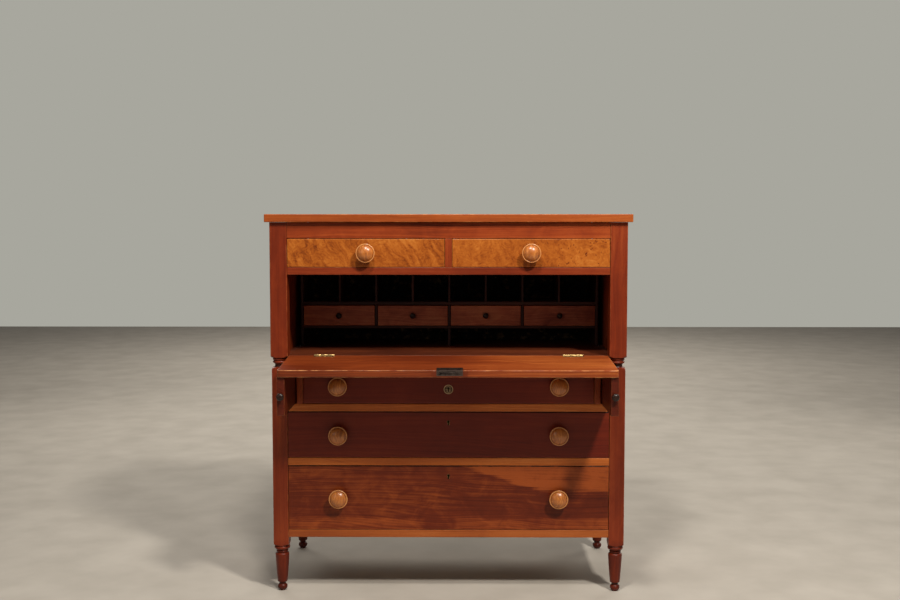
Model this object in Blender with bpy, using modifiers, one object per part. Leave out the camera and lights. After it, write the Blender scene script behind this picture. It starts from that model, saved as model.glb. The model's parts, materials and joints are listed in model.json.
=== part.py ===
"""Secretary desk: a chest of drawers with a fall-front writing compartment and pull-out lopers.

Metres, +Z up, +X to the sitter's right, +Y from the front to the back. Sizes below are in millimetres.
The desk stands on z = 0 with its fall open and its lopers drawn out.
"""
import math

import bmesh
import bpy

MM = 0.001

# Case, seen from the front
CASE_WIDTH = 1117.0
CASE_DEPTH = 528.0
TOP_THICKNESS = 25.0
TOP_SIDE_OVERHANG = 14.5
TOP_FRONT_OVERHANG = 12.0
TOP_EDGE_RADIUS = 2.0

# Heights of the rails and openings, from the floor upwards
LEG_CLEARANCE = 177.0
RAIL = 24.0
DRAWER_3_OPENING = 207.0
DRAWER_2_OPENING = 148.0
DRAWER_1_OPENING = 117.0
DESK_RAIL = 10.0
FALL_OPENING = 255.0
UPPER_RAIL = 23.0
UPPER_DRAWER_OPENING = 90.0
TOP_RAIL = 51.0
TOP_RAIL_THICKNESS = 22.0

# Corner posts: a wider square above the ring turning, a narrower one below it
STILE = 54.0
POST = 48.0
RAIL_SETBACK = 1.5
RINGS_BELOW_DESK = 6.0
RINGS_HEIGHT = 34.0
FOOT_HEIGHT = 150.0
TURNING_STEPS = 20

# Boards of the case
SIDE_PANEL = 16.0
PANEL_TONGUE = 8.0
BACK_PANEL = 10.0
BACK_REBATE = 8.0
DUST_BOARD = 12.0
MUNTIN = 22.0
LOPER_DIVIDER = 19.5
LOPER_SLOT = 29.0
RUNNER_WIDTH = 40.0

# Gallery inside the writing compartment
GALLERY_DEPTH = 210.0
GALLERY_BOARD = 9.0
GALLERY_SHELF = 11.0
PIGEONHOLE_DIVIDER = 7.0
PIGEONHOLES = 8
GALLERY_DRAWERS = 4
LETTER_SPACE = 59.0
GALLERY_DRAWER_OPENING = 71.0
GALLERY_DRAWER_SETBACK = 1.0
GALLERY_DRAWER_BACK_CLEARANCE = 19.0
GALLERY_DRAWER_FRONT = 9.0
GALLERY_DRAWER_WALL = 5.0
GALLERY_DRAWER_TOP_GAP = 3.0

# Drawers of the case
DRAWER_FRONT = 22.0
DRAWER_GAP = 1.2
DRAWER_SIDE = 10.0
DRAWER_BOTTOM = 7.0
DRAWER_BACK_CLEARANCE = 14.0
DRAWER_BOX_DROP = 12.0
DRAWER_BOX_INSET = 2.0
FALL_TO_DRAWER_GAP = 3.5
LOWER_KNOB_X = 347.0

# Fall front and its lopers
FALL_THICKNESS = 22.0
FALL_HEEL_ROOM = 3.0
FALL_SIDE_GAP = 1.5
FALL_HEEL_GAP = 1.0
FALL_TOP_GAP = 2.0
FALL_EDGE_RADIUS = 1.5
BOARD_EDGE_GAP = 1.5
LOPER_THICKNESS = 23.0
LOPER_BACK_CLEARANCE = 55.5
LOPER_TRAVEL = 226.5
LOPER_TOP_GAP = 1.5
LOPER_FOOT_GAP = 0.5

# Hinges of the fall
HINGE_X = 392.0
HINGE_LENGTH = 64.0
LEAF_WIDTH = 24.0
LEAF_THICKNESS = 2.0
KNUCKLE_RADIUS = 3.0
PIN_RADIUS = 1.3
PIN_CLEARANCE = 0.15
KNUCKLE_GAP = 0.4
KNUCKLE_SHARE = 0.3

# Lock of the fall
LOCK_X = 6.0
LOCK_LENGTH = 78.0
LOCK_DEPTH = 44.0
LOCK_PLATE = 2.0
LOCK_CASE_LENGTH = 58.0
LOCK_CASE_DEPTH = 36.0
LOCK_CASE_THICKNESS = 13.0
SELVEDGE_HEIGHT = 17.0
BOLT_LENGTH = 28.0
BOLT_THICKNESS = 4.5
BOLT_REACH = 22.0
BOLT_CLEARANCE = 0.3
BOLT_THROW = 7.0
BOLT_DEPTH_BELOW_FACE = 7.5
STRIKE_CLEARANCE = 1.5

# Knobs and keyholes
KNOB_RADIUS = 30.0
KNOB_PROJECTION = 38.0
KNOB_NECK_RADIUS = 12.0
KNOB_TENON_RADIUS = 7.0
KNOB_TENON_LENGTH = 18.0
LOPER_KNOB_RADIUS = 11.5
LOPER_KNOB_PROJECTION = 19.0
GALLERY_KNOB_RADIUS = 10.0
GALLERY_KNOB_PROJECTION = 15.0
KEYHOLE_RADIUS = 3.5
KEYHOLE_SLOT = 3.5
KEYHOLE_HEIGHT = 15.0
KEYHOLE_BELOW_EDGE = 31.0
ESCUTCHEON_RADIUS = 15.0
ESCUTCHEON_THICKNESS = 2.0
ESCUTCHEON_DROP = 11.0

# Clearance between pieces that touch
GAP = 0.3

# Heights that follow from the stack
Z_BOTTOM_RAIL = LEG_CLEARANCE
Z_DRAWER_3 = Z_BOTTOM_RAIL + RAIL
Z_LOWER_RAIL_2 = Z_DRAWER_3 + DRAWER_3_OPENING
Z_DRAWER_2 = Z_LOWER_RAIL_2 + RAIL
Z_LOWER_RAIL_1 = Z_DRAWER_2 + DRAWER_2_OPENING
Z_DRAWER_1 = Z_LOWER_RAIL_1 + RAIL
Z_DESK_RAIL = Z_DRAWER_1 + DRAWER_1_OPENING
Z_WRITING_BOARD = Z_DESK_RAIL + DESK_RAIL
Z_DESK = Z_WRITING_BOARD + FALL_THICKNESS + FALL_HEEL_ROOM
Z_UPPER_RAIL = Z_DESK + FALL_OPENING
Z_UPPER_DRAWER = Z_UPPER_RAIL + UPPER_RAIL
Z_TOP_RAIL = Z_UPPER_DRAWER + UPPER_DRAWER_OPENING
Z_TOP_BOARD = Z_TOP_RAIL + TOP_RAIL
HEIGHT = Z_TOP_BOARD + TOP_THICKNESS
Z_CEILING = Z_UPPER_DRAWER - DUST_BOARD
Z_RINGS_TOP = Z_DESK - RINGS_BELOW_DESK
Z_RINGS_BOTTOM = Z_RINGS_TOP - RINGS_HEIGHT

# Places across the case and from front to back
POST_X = CASE_WIDTH / 2 - STILE / 2
FRONT_POST_Y = STILE / 2
BACK_POST_Y = CASE_DEPTH - STILE / 2
UPPER_INNER = POST_X - STILE / 2
LOWER_INNER = POST_X - POST / 2
PANEL_INNER = POST_X - SIDE_PANEL / 2
UPPER_FRONT = RAIL_SETBACK
LOWER_FRONT = (STILE - POST) / 2 + RAIL_SETBACK
BACK_POST_FRONT = CASE_DEPTH - STILE
BACK_PANEL_FRONT = CASE_DEPTH - BACK_REBATE - BACK_PANEL
GALLERY_FRONT = BACK_PANEL_FRONT - GALLERY_DEPTH
DIVIDER_OUTER = LOWER_INNER - LOPER_SLOT
DIVIDER_INNER = DIVIDER_OUTER - LOPER_DIVIDER
LOPER_X = (LOWER_INNER + DIVIDER_OUTER) / 2

# The fall turns about the edge where its inner face meets the writing surface
HINGE_Y = FALL_THICKNESS
FALL_REACH = FALL_OPENING - FALL_TOP_GAP
LOPER_TOP = Z_DESK_RAIL - LOPER_TOP_GAP
LOPER_FRONT = LOWER_FRONT - LOPER_TRAVEL
LOPER_LENGTH = BACK_PANEL_FRONT - LOPER_BACK_CLEARANCE - LOWER_FRONT

# The stored shape, with the fall and the lopers out, is centred on y = 0
FRONTMOST = min(LOPER_FRONT - LOPER_KNOB_PROJECTION, HINGE_Y - FALL_REACH)
CENTRE_SHIFT = -(FRONTMOST + CASE_DEPTH) / 2


def fall_droop():
    """Angle below level at which the open fall lies on the lopers' front edges."""
    drop = Z_DESK - LOPER_TOP - GAP
    reach = HINGE_Y - LOPER_FRONT
    return math.asin(drop / math.hypot(FALL_THICKNESS, reach)) - math.atan2(FALL_THICKNESS, reach)


def clear_scene():
    for obj in list(bpy.data.objects):
        bpy.data.objects.remove(obj, do_unlink=True)


def make_collection(name):
    collection = bpy.data.collections.new(name)
    bpy.context.scene.collection.children.link(collection)
    return collection


def finish(name, colour, roughness, metallic=0.0):
    material = bpy.data.materials.new(name)
    material.use_nodes = True
    shader = material.node_tree.nodes["Principled BSDF"]
    shader.inputs["Base Color"].default_value = (*colour, 1.0)
    shader.inputs["Roughness"].default_value = roughness
    shader.inputs["Metallic"].default_value = metallic
    return material


clear_scene()
PARTS = make_collection("secretary_desk")
CUTTERS = make_collection("cutters")
CHERRY = finish("cherry", (0.28, 0.075, 0.022), 0.38)
DARK_CHERRY = finish("dark_cherry", (0.12, 0.03, 0.014), 0.42)
BURL_MAPLE = finish("burl_maple", (0.55, 0.24, 0.055), 0.33)
KNOB_MAPLE = finish("knob_maple", (0.58, 0.29, 0.10), 0.35)
POPLAR = finish("poplar", (0.38, 0.24, 0.12), 0.65)
EBONISED = finish("ebonised", (0.03, 0.018, 0.014), 0.4)
BRASS = finish("brass", (0.62, 0.42, 0.16), 0.35, 1.0)
STEEL = finish("steel", (0.11, 0.10, 0.10), 0.45, 1.0)


def make_empty(name, location, parent=None, tilt=0.0):
    """A frame that pieces are parented to, placed in millimetres."""
    empty = bpy.data.objects.new(name, None)
    PARTS.objects.link(empty)
    empty.location = [value * MM for value in location]
    empty.rotation_euler = (tilt, 0.0, 0.0)
    empty.parent = parent
    return empty


def place(name, data, location, material, parent):
    """Put a mesh or a curve in the desk, or among the cutters when it has no material."""
    obj = bpy.data.objects.new(name, data)
    if material is None:
        CUTTERS.objects.link(obj)
        obj.display_type = "WIRE"
        obj.hide_render = True
    else:
        PARTS.objects.link(obj)
        if not data.materials:
            data.materials.append(material)
    obj.location = [value * MM for value in location]
    obj.parent = parent
    return obj


def block(name, x, y, z, material=None, parent=None):
    """A board between pairs of x, y and z."""
    size = [(pair[1] - pair[0]) * MM for pair in (x, y, z)]
    centre = [(pair[0] + pair[1]) / 2 for pair in (x, y, z)]
    mesh = bpy.data.meshes.new(name)
    shape = bmesh.new()
    bmesh.ops.create_cube(shape, size=1.0)
    bmesh.ops.scale(shape, vec=size, verts=shape.verts)
    shape.to_mesh(mesh)
    shape.free()
    return place(name, mesh, centre, material, parent)


def outline_board(name, points, thickness, location, material, parent):
    """An upright outline with its thickness along y."""
    curve = bpy.data.curves.new(name, "CURVE")
    curve.dimensions = "2D"
    curve.fill_mode = "BOTH"
    curve.extrude = thickness / 2 * MM
    spline = curve.splines.new("POLY")
    spline.points.add(len(points) - 1)
    for point, (across, along) in zip(spline.points, points):
        point.co = (across * MM, along * MM, 0.0, 1.0)
    spline.use_cyclic_u = True
    board = place(name, curve, location, material, parent)
    board.rotation_euler = (math.pi / 2, 0.0, 0.0)
    return board


def turned_mesh(name, profile):
    """The half outline of a turned shape: (radius, height) pairs from top to bottom."""
    mesh = bpy.data.meshes.new(name)
    points = [(radius * MM, 0.0, height * MM) for radius, height in profile]
    edges = [(index, index + 1) for index in range(len(points) - 1)]
    mesh.from_pydata(points, edges, [])
    return mesh


def turned(name, mesh, location, material=None, parent=None, facing_front=False, steps=TURNING_STEPS):
    """Turn an outline about its own z axis; facing_front points that axis out of the desk's front."""
    obj = place(name, mesh, location, material, parent)
    if facing_front:
        obj.rotation_euler = (math.pi / 2, 0.0, 0.0)
    screw = obj.modifiers.new("turning", "SCREW")
    screw.steps = steps
    screw.render_steps = steps
    screw.use_merge_vertices = True
    screw.merge_threshold = 0.00001
    screw.use_smooth_shade = True
    return obj


def rod(name, radius, length, location, along, material=None, parent=None, steps=TURNING_STEPS):
    """A round bar centred on location, along the x, y or z axis."""
    mesh = bpy.data.meshes.new(name)
    shape = bmesh.new()
    bmesh.ops.create_cone(shape, cap_ends=True, segments=steps, radius1=radius * MM, radius2=radius * MM,
                          depth=length * MM)
    shape.to_mesh(mesh)
    shape.free()
    obj = place(name, mesh, location, material, parent)
    turns = {"x": (0.0, math.pi / 2, 0.0), "y": (math.pi / 2, 0.0, 0.0), "z": (0.0, 0.0, 0.0)}
    obj.rotation_euler = turns[along]
    return obj


def combine(target, cutter, operation="DIFFERENCE"):
    boolean = target.modifiers.new(cutter.name, "BOOLEAN")
    boolean.operation = operation
    boolean.solver = "EXACT"
    boolean.object = cutter


def round_edges(obj, radius):
    bevel = obj.modifiers.new("eased_edges", "BEVEL")
    bevel.width = radius * MM
    bevel.segments = 2
    bevel.limit_method = "ANGLE"


def arc(centre_radius, centre_height, radius, start, stop, count):
    """Points on an arc of a turned outline; angles in degrees from the outward direction."""
    angles = [math.radians(start + (stop - start) * step / count) for step in range(count + 1)]
    return [(centre_radius + radius * math.cos(a), centre_height + radius * math.sin(a)) for a in angles]


def keyhole(name, x, y, z, depth, parent):
    """Cutters for a keyhole: a round hole above a narrow slot."""
    bow = rod(name + "_bow", KEYHOLE_RADIUS, depth, (x, y, z), "y", parent=parent, steps=16)
    slot = block(name + "_slot", (x - KEYHOLE_SLOT / 2, x + KEYHOLE_SLOT / 2), (y - depth / 2, y + depth / 2),
                 (z - KEYHOLE_HEIGHT + KEYHOLE_RADIUS, z), parent=parent)
    return bow, slot


# Turned outlines ---------------------------------------------------------------------------------------

def foot_outline():
    """Ring, waist, tapered leg, neck and ball foot, from the post's square end to the floor."""
    scale = FOOT_HEIGHT / 150.0
    ball = arc(5.0, 11.5, 10.5, 60, -50, 6)
    points = arc(17.0, 137.0, 7.0, 62, -62, 5)
    points += [(17.0, 125.0), (17.5, 122.0)]
    points += arc(15.5, 113.0, 6.5, 70, 0, 4)
    points += [(21.6, 103.0), (20.6, 80.0), (18.6, 52.0), (16.6, 31.0), (15.6, 28.0), (10.5, 25.0)]
    points += ball + [(9.5, 0.0)]
    return [(radius, height * scale) for radius, height in points]


def ring_outline():
    """Two rings and a cove between the stile and the lower square."""
    upper_ring = arc(19.5, Z_RINGS_TOP - 6.0, 4.2, 75, -75, 5)
    lower_ring = arc(19.5, Z_RINGS_TOP - 15.0, 4.2, 75, -75, 5)
    cove = [(17.6, Z_RINGS_TOP - 21.5), (16.8, Z_RINGS_TOP - 25.0), (18.0, Z_RINGS_TOP - 29.0)]
    shoulder = [(22.5, Z_RINGS_BOTTOM + 1.0), (28.0, Z_RINGS_BOTTOM - 1.5), (33.0, Z_RINGS_BOTTOM - 5.5)]
    return upper_ring + lower_ring + cove + shoulder


def post_outline(ringed):
    """What the lathe leaves of a square stick; the radius clears the square where it isn't turned."""
    clear = STILE
    outline = [(0.0, HEIGHT), (clear, HEIGHT)]
    if ringed:
        outline += [(clear, Z_RINGS_TOP + 4.0), (33.0, Z_RINGS_TOP + 2.0), (27.0, Z_RINGS_TOP)]
        outline += ring_outline()
        outline += [(clear, Z_RINGS_BOTTOM - 9.0)]
    outline += [(clear, FOOT_HEIGHT + 8.0), (33.0, FOOT_HEIGHT + 4.0), (26.0, FOOT_HEIGHT)]
    outline += foot_outline()
    return outline + [(0.0, 0.0)]


def knob_outline(radius, projection, neck, tenon=0.0, tenon_length=0.0, points=5):
    """A mushroom knob: domed face, thin rim, waisted neck and flared base, with a tenon behind."""
    rim = projection * 0.62
    dome = [(radius * math.sin(math.radians(90 * step / points)),
             rim + (projection - rim) * math.cos(math.radians(90 * step / points)))
            for step in range(points + 1)]
    under = [(radius * 0.93, rim - projection * 0.09), (neck * 1.15, rim - projection * 0.2)]
    foot = [(neck, projection * 0.2), (neck * 1.3, GAP)]
    if tenon:
        foot += [(tenon, GAP), (tenon, -tenon_length), (0.0, -tenon_length)]
    else:
        foot += [(0.0, GAP)]
    return dome + under + foot


# Case ---------------------------------------------------------------------------------------------------

def make_post(name, x, y, ringed, parent):
    """A square stick turned between centres, grooved for the side panel."""
    frame = make_empty(name + "_axis", (x, y, 0.0), parent)
    upper = block(name + "_stile", (-STILE / 2, STILE / 2), (-STILE / 2, STILE / 2),
                  ((Z_RINGS_TOP + Z_RINGS_BOTTOM) / 2 if ringed else -1.0, Z_TOP_BOARD - GAP), parent=frame)
    post = block(name, (-POST / 2, POST / 2), (-POST / 2, POST / 2), (-1.0, Z_RINGS_TOP), CHERRY, frame)
    combine(post, upper, "UNION")
    turning = turned(name + "_turning", turned_mesh(name + "_turning", post_outline(ringed)), (0, 0, 0),
                     parent=frame)
    combine(post, turning, "INTERSECT")
    inward = 1.0 if y < CASE_DEPTH / 2 else -1.0
    near = STILE / 2 - PANEL_TONGUE - GAP
    groove_y = sorted((inward * near, inward * STILE))
    groove = block(name + "_groove", (-SIDE_PANEL / 2 - GAP, SIDE_PANEL / 2 + GAP), groove_y,
                   (Z_BOTTOM_RAIL - GAP, HEIGHT), parent=frame)
    combine(post, groove)


def make_top(desk):
    half = CASE_WIDTH / 2 + TOP_SIDE_OVERHANG
    top = block("top_board", (-half, half), (-TOP_FRONT_OVERHANG, CASE_DEPTH), (Z_TOP_BOARD, HEIGHT),
                CHERRY, desk)
    round_edges(top, TOP_EDGE_RADIUS)


def make_side_panels(desk):
    front = STILE - PANEL_TONGUE
    back = BACK_POST_FRONT + PANEL_TONGUE
    for side, name in ((-1, "left"), (1, "right")):
        edges = sorted((side * (POST_X - SIDE_PANEL / 2), side * (POST_X + SIDE_PANEL / 2)))
        block("side_panel_" + name, edges, (front, back), (Z_BOTTOM_RAIL, Z_TOP_BOARD - GAP), CHERRY, desk)


def make_back_panel(desk):
    half = UPPER_INNER - GAP
    block("back_panel", (-half, half), (BACK_PANEL_FRONT, BACK_PANEL_FRONT + BACK_PANEL),
          (Z_BOTTOM_RAIL, Z_TOP_BOARD - GAP), POPLAR, desk)


def make_rails(desk):
    upper = UPPER_INNER - GAP
    lower = LOWER_INNER - GAP
    block("top_rail", (-upper, upper), (UPPER_FRONT, UPPER_FRONT + TOP_RAIL_THICKNESS),
          (Z_TOP_RAIL, Z_TOP_BOARD - GAP), CHERRY, desk)
    rail = block("upper_drawer_rail", (-upper, upper), (UPPER_FRONT, STILE),
                 (Z_UPPER_RAIL, Z_UPPER_DRAWER), CHERRY, desk)
    across = BOLT_LENGTH / 2 + STRIKE_CLEARANCE
    bolt_y = HINGE_Y - BOLT_DEPTH_BELOW_FACE
    deep = BOLT_THICKNESS / 2 + STRIKE_CLEARANCE
    strike = block("bolt_strike", (LOCK_X - across, LOCK_X + across), (bolt_y - deep, bolt_y + deep),
                   (Z_UPPER_RAIL - 1.0, Z_UPPER_RAIL + BOLT_THROW + 1.0), parent=desk)
    combine(rail, strike)
    for name, height, thickness in (("desk_rail", Z_DESK_RAIL, DESK_RAIL - GAP),
                                    ("lower_rail_1", Z_LOWER_RAIL_1, RAIL),
                                    ("lower_rail_2", Z_LOWER_RAIL_2, RAIL),
                                    ("bottom_rail", Z_BOTTOM_RAIL, RAIL)):
        block(name, (-lower, lower), (LOWER_FRONT, STILE), (height, height + thickness), CHERRY, desk)


def make_upright_dividers(desk):
    block("upper_muntin", (-MUNTIN / 2, MUNTIN / 2), (UPPER_FRONT, BACK_POST_FRONT),
          (Z_UPPER_DRAWER + GAP, Z_TOP_RAIL - GAP), CHERRY, desk)
    for side, name in ((-1, "left"), (1, "right")):
        edges = sorted((side * DIVIDER_INNER, side * DIVIDER_OUTER))
        block("loper_divider_" + name, edges, (LOWER_FRONT, BACK_POST_FRONT),
              (Z_DRAWER_1 + GAP, Z_DESK_RAIL - GAP), CHERRY, desk)


def case_board(name, front, z, material, desk):
    """A board that fills the case from side to side and is notched round the posts it passes."""
    wide = PANEL_INNER - GAP
    narrow = UPPER_INNER - GAP
    back = BACK_PANEL_FRONT - GAP
    board = block(name, (-wide, wide), (front, back), z, material, desk)
    spans = [("back", BACK_POST_FRONT - GAP, back + 1.0)]
    if front < STILE + GAP:
        spans.append(("front", front - 1.0, STILE + GAP))
    for side, hand in ((-1, "left"), (1, "right")):
        for end, near, far in spans:
            corner = sorted((side * narrow, side * (wide + 1.0)))
            notch = block(f"{name}_{end}_{hand}_notch", corner, (near, far), (z[0] - 1.0, z[1] + 1.0),
                          parent=desk)
            combine(board, notch)
    return board


def make_boards(desk):
    behind_posts = STILE + GAP
    for name, top in (("dust_board_upper", Z_UPPER_DRAWER), ("dust_board_1", Z_DRAWER_1),
                      ("dust_board_2", Z_DRAWER_2)):
        case_board(name, behind_posts, (top - DUST_BOARD, top), POPLAR, desk)
    frame = case_board("bottom_frame", behind_posts, (Z_DRAWER_3 - DUST_BOARD, Z_DRAWER_3), POPLAR, desk)
    runner_edge = PANEL_INNER - GAP - RUNNER_WIDTH
    mouth = block("bottom_frame_mouth", (-runner_edge, runner_edge), (behind_posts - 1.0, BACK_POST_FRONT - GAP),
                  (Z_BOTTOM_RAIL, Z_DRAWER_3 + 1.0), parent=desk)
    combine(frame, mouth)
    return case_board("writing_board", HINGE_Y + BOARD_EDGE_GAP, (Z_WRITING_BOARD, Z_DESK), DARK_CHERRY, desk)


# Gallery -----------------------------------------------------------------------------------------------

def gallery_divider_places(count):
    """x of the dividers that part the gallery's clear width into equal bays."""
    clear = 2 * (UPPER_INNER - GAP - GALLERY_BOARD)
    return [clear * (index / count - 0.5) for index in range(1, count)]


def teeth(places, thickness, base, tip):
    """Outline points of uprights standing on a board, from right to left."""
    points = []
    for x in sorted(places, reverse=True):
        right, left = x + thickness / 2, x - thickness / 2
        points += [(right, base), (right, tip), (left, tip), (left, base)]
    return points


def make_gallery(desk):
    outer = UPPER_INNER - GAP
    inner = outer - GALLERY_BOARD
    back = BACK_PANEL_FRONT - GAP
    for side, name in ((-1, "left"), (1, "right")):
        edges = sorted((side * inner, side * outer))
        block("gallery_end_" + name, edges, (GALLERY_FRONT, back), (Z_DESK + GAP, Z_CEILING - GAP),
              DARK_CHERRY, desk)
    clear = inner - GAP
    depth = back - GALLERY_FRONT
    middle = (back + GALLERY_FRONT) / 2
    z_board = Z_DESK + LETTER_SPACE
    z_drawers = z_board + GALLERY_BOARD
    z_shelf = z_drawers + GALLERY_DRAWER_OPENING
    z_holes = z_shelf + GALLERY_SHELF
    case = [(-clear, z_board), (-GALLERY_BOARD / 2, z_board), (-GALLERY_BOARD / 2, Z_DESK + GAP),
            (GALLERY_BOARD / 2, Z_DESK + GAP), (GALLERY_BOARD / 2, z_board), (clear, z_board),
            (clear, z_drawers)]
    case += teeth(gallery_divider_places(GALLERY_DRAWERS), GALLERY_BOARD, z_drawers, z_shelf - GAP)
    case += [(-clear, z_drawers)]
    outline_board("gallery_drawer_case", case, depth, (0, middle, 0), DARK_CHERRY, desk)
    rack = [(-clear, z_shelf), (clear, z_shelf), (clear, z_holes)]
    rack += teeth(gallery_divider_places(PIGEONHOLES), PIGEONHOLE_DIVIDER, z_holes, Z_CEILING - GAP)
    rack += [(-clear, z_holes)]
    outline_board("pigeonhole_rack", rack, depth, (0, middle, 0), DARK_CHERRY, desk)
    make_gallery_drawers(desk, inner, z_drawers)


def make_gallery_drawers(desk, inner, z_low):
    """Small drawers, each hollowed from above and with its turned knob on the front."""
    places = [-inner - GALLERY_BOARD / 2] + gallery_divider_places(GALLERY_DRAWERS)
    places += [inner + GALLERY_BOARD / 2]
    knob_mesh = turned_mesh("gallery_knob", knob_outline(
        GALLERY_KNOB_RADIUS, GALLERY_KNOB_PROJECTION, GALLERY_KNOB_RADIUS * 0.45, points=4))
    front = GALLERY_FRONT + GALLERY_DRAWER_SETBACK
    back = BACK_PANEL_FRONT - GALLERY_DRAWER_BACK_CLEARANCE
    z_high = z_low + GALLERY_DRAWER_OPENING - GALLERY_DRAWER_TOP_GAP
    for number, (left, right) in enumerate(zip(places, places[1:]), start=1):
        x = (left + right) / 2
        half = (right - left) / 2 - GALLERY_BOARD / 2 - DRAWER_GAP
        name = f"gallery_drawer_{number}"
        frame = make_empty(name + "_slide", (x, front, z_low), desk)
        height = z_high - z_low
        drawer = block(name, (-half, half), (0, back - front), (GAP * 2, height), DARK_CHERRY, frame)
        wall = GALLERY_DRAWER_WALL
        pocket = block(name + "_pocket", (-half + wall, half - wall),
                       (GALLERY_DRAWER_FRONT, back - front - wall), (wall + GAP * 2, height + wall),
                       parent=frame)
        combine(drawer, pocket)
        knob = turned(name + "_knob", knob_mesh, (0, 1.0, height / 2), parent=frame, facing_front=True,
                      steps=16)
        combine(drawer, knob, "UNION")


# Drawers of the case -------------------------------------------------------------------------------------

def make_drawer(name, desk, x, z, front, knobs, wood, knob_mesh):
    """Front board, dovetailed box and turned knobs; x and z are pairs that bound the front."""
    frame = make_empty(name + "_slide", ((x[0] + x[1]) / 2, front, (z[0] + z[1]) / 2), desk)
    half = (x[1] - x[0]) / 2
    rise = (z[1] - z[0]) / 2
    board = block(name + "_front", (-half, half), (0, DRAWER_FRONT), (-rise, rise), wood, frame)
    box_half = half - DRAWER_BOX_INSET
    box_front = DRAWER_FRONT + GAP
    box_back = BACK_PANEL_FRONT - DRAWER_BACK_CLEARANCE - front
    box_top = rise - DRAWER_BOX_DROP
    box = block(name + "_box", (-box_half, box_half), (box_front, box_back), (-rise, box_top), POPLAR, frame)
    room = block(name + "_room", (-box_half + DRAWER_SIDE, box_half - DRAWER_SIDE),
                 (0, box_back - DRAWER_SIDE), (-rise + DRAWER_BOTTOM, rise), parent=frame)
    combine(box, room)
    for label, knob_x in knobs:
        knob_name = name + "_knob" + label
        turned(knob_name, knob_mesh, (knob_x, 0, 0), KNOB_MAPLE, frame, facing_front=True)
        hole = rod(knob_name + "_hole", KNOB_TENON_RADIUS + GAP, 3 * KNOB_TENON_LENGTH, (knob_x, 0, 0), "y",
                   parent=frame)
        combine(board, hole)
    return frame, board, rise


def make_drawers(desk):
    knob_mesh = turned_mesh("drawer_knob", knob_outline(
        KNOB_RADIUS, KNOB_PROJECTION, KNOB_NECK_RADIUS, KNOB_TENON_RADIUS, KNOB_TENON_LENGTH))
    upper_z = (Z_UPPER_DRAWER + DRAWER_GAP, Z_TOP_RAIL - DRAWER_GAP)
    left = (-UPPER_INNER + DRAWER_GAP, -MUNTIN / 2 - DRAWER_GAP)
    right = (MUNTIN / 2 + DRAWER_GAP, UPPER_INNER - DRAWER_GAP)
    make_drawer("upper_drawer_left", desk, left, upper_z, UPPER_FRONT, (("", 0.0),), BURL_MAPLE, knob_mesh)
    make_drawer("upper_drawer_right", desk, right, upper_z, UPPER_FRONT, (("", 0.0),), BURL_MAPLE, knob_mesh)
    pair = (("_left", -LOWER_KNOB_X), ("_right", LOWER_KNOB_X))
    half = DIVIDER_INNER - DRAWER_GAP
    z = (Z_DRAWER_1 + DRAWER_GAP, Z_DESK_RAIL - FALL_TO_DRAWER_GAP)
    frame, board, _ = make_drawer("drawer_1", desk, (-half, half), z, LOWER_FRONT, pair, CHERRY, knob_mesh)
    make_escutcheon(frame, board)
    half = LOWER_INNER - DRAWER_GAP
    for name, low, opening in (("drawer_2", Z_DRAWER_2, DRAWER_2_OPENING),
                               ("drawer_3", Z_DRAWER_3, DRAWER_3_OPENING)):
        z = (low + DRAWER_GAP, low + opening - DRAWER_GAP)
        frame, board, rise = make_drawer(name, desk, (-half, half), z, LOWER_FRONT, pair, CHERRY, knob_mesh)
        for cutter in keyhole(name + "_keyhole", 0, 0, rise - KEYHOLE_BELOW_EDGE, 3 * DRAWER_FRONT, frame):
            combine(board, cutter)


def make_escutcheon(frame, board):
    """A round plate let into the top long drawer, over its keyhole."""
    recess = rod("escutcheon_recess", ESCUTCHEON_RADIUS + GAP, 2 * ESCUTCHEON_THICKNESS,
                 (0, -GAP, -ESCUTCHEON_DROP), "y", parent=frame)
    combine(board, recess)
    face = -GAP + ESCUTCHEON_THICKNESS - GAP
    plate = rod("drawer_1_escutcheon", ESCUTCHEON_RADIUS, ESCUTCHEON_THICKNESS,
                (0, face - ESCUTCHEON_THICKNESS / 2, -ESCUTCHEON_DROP), "y", STEEL, frame)
    holes = keyhole("drawer_1_keyhole", 0, 0, -ESCUTCHEON_DROP + KEYHOLE_RADIUS, 3 * DRAWER_FRONT, frame)
    for cutter in holes:
        combine(board, cutter)
        combine(plate, cutter)


# Fall front, hinges and lock ---------------------------------------------------------------------------

def make_leaf(name, frame, side, outer, barrel_x, material):
    """One hinge leaf. side is -1 on the fall and 1 on the writing board; outer knuckles carry the pin."""
    half = HINGE_LENGTH / 2
    middle = HINGE_LENGTH * KNUCKLE_SHARE / 2
    near = side * (KNUCKLE_RADIUS + KNUCKLE_GAP)
    plate_y = sorted((near, side * LEAF_WIDTH))
    tab_y = sorted((0.0, near + side))
    leaf = block(name, (barrel_x - half, barrel_x + half), plate_y, (-LEAF_THICKNESS, 0.0), material, frame)
    if outer:
        spans = [(-half, -middle - KNUCKLE_GAP), (middle + KNUCKLE_GAP, half)]
    else:
        spans = [(-middle, middle)]
    for number, (low, high) in enumerate(spans):
        label = f"{name}_{number}"
        span = (barrel_x + low, barrel_x + high)
        combine(leaf, block(label + "_tab", span, tab_y, (-LEAF_THICKNESS, 0.0), parent=frame), "UNION")
        knuckle = rod(label + "_knuckle", KNUCKLE_RADIUS, high - low, (sum(span) / 2, 0, 0), "x",
                      parent=frame, steps=16)
        combine(leaf, knuckle, "UNION")
    if outer:
        pin = rod(name + "_pin", PIN_RADIUS, HINGE_LENGTH - 2.0, (barrel_x, 0, 0), "x", parent=frame, steps=16)
        combine(leaf, pin, "UNION")
    else:
        bore = rod(name + "_bore", PIN_RADIUS + PIN_CLEARANCE, HINGE_LENGTH, (barrel_x, 0, 0), "x",
                   parent=frame, steps=16)
        combine(leaf, bore)


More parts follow.
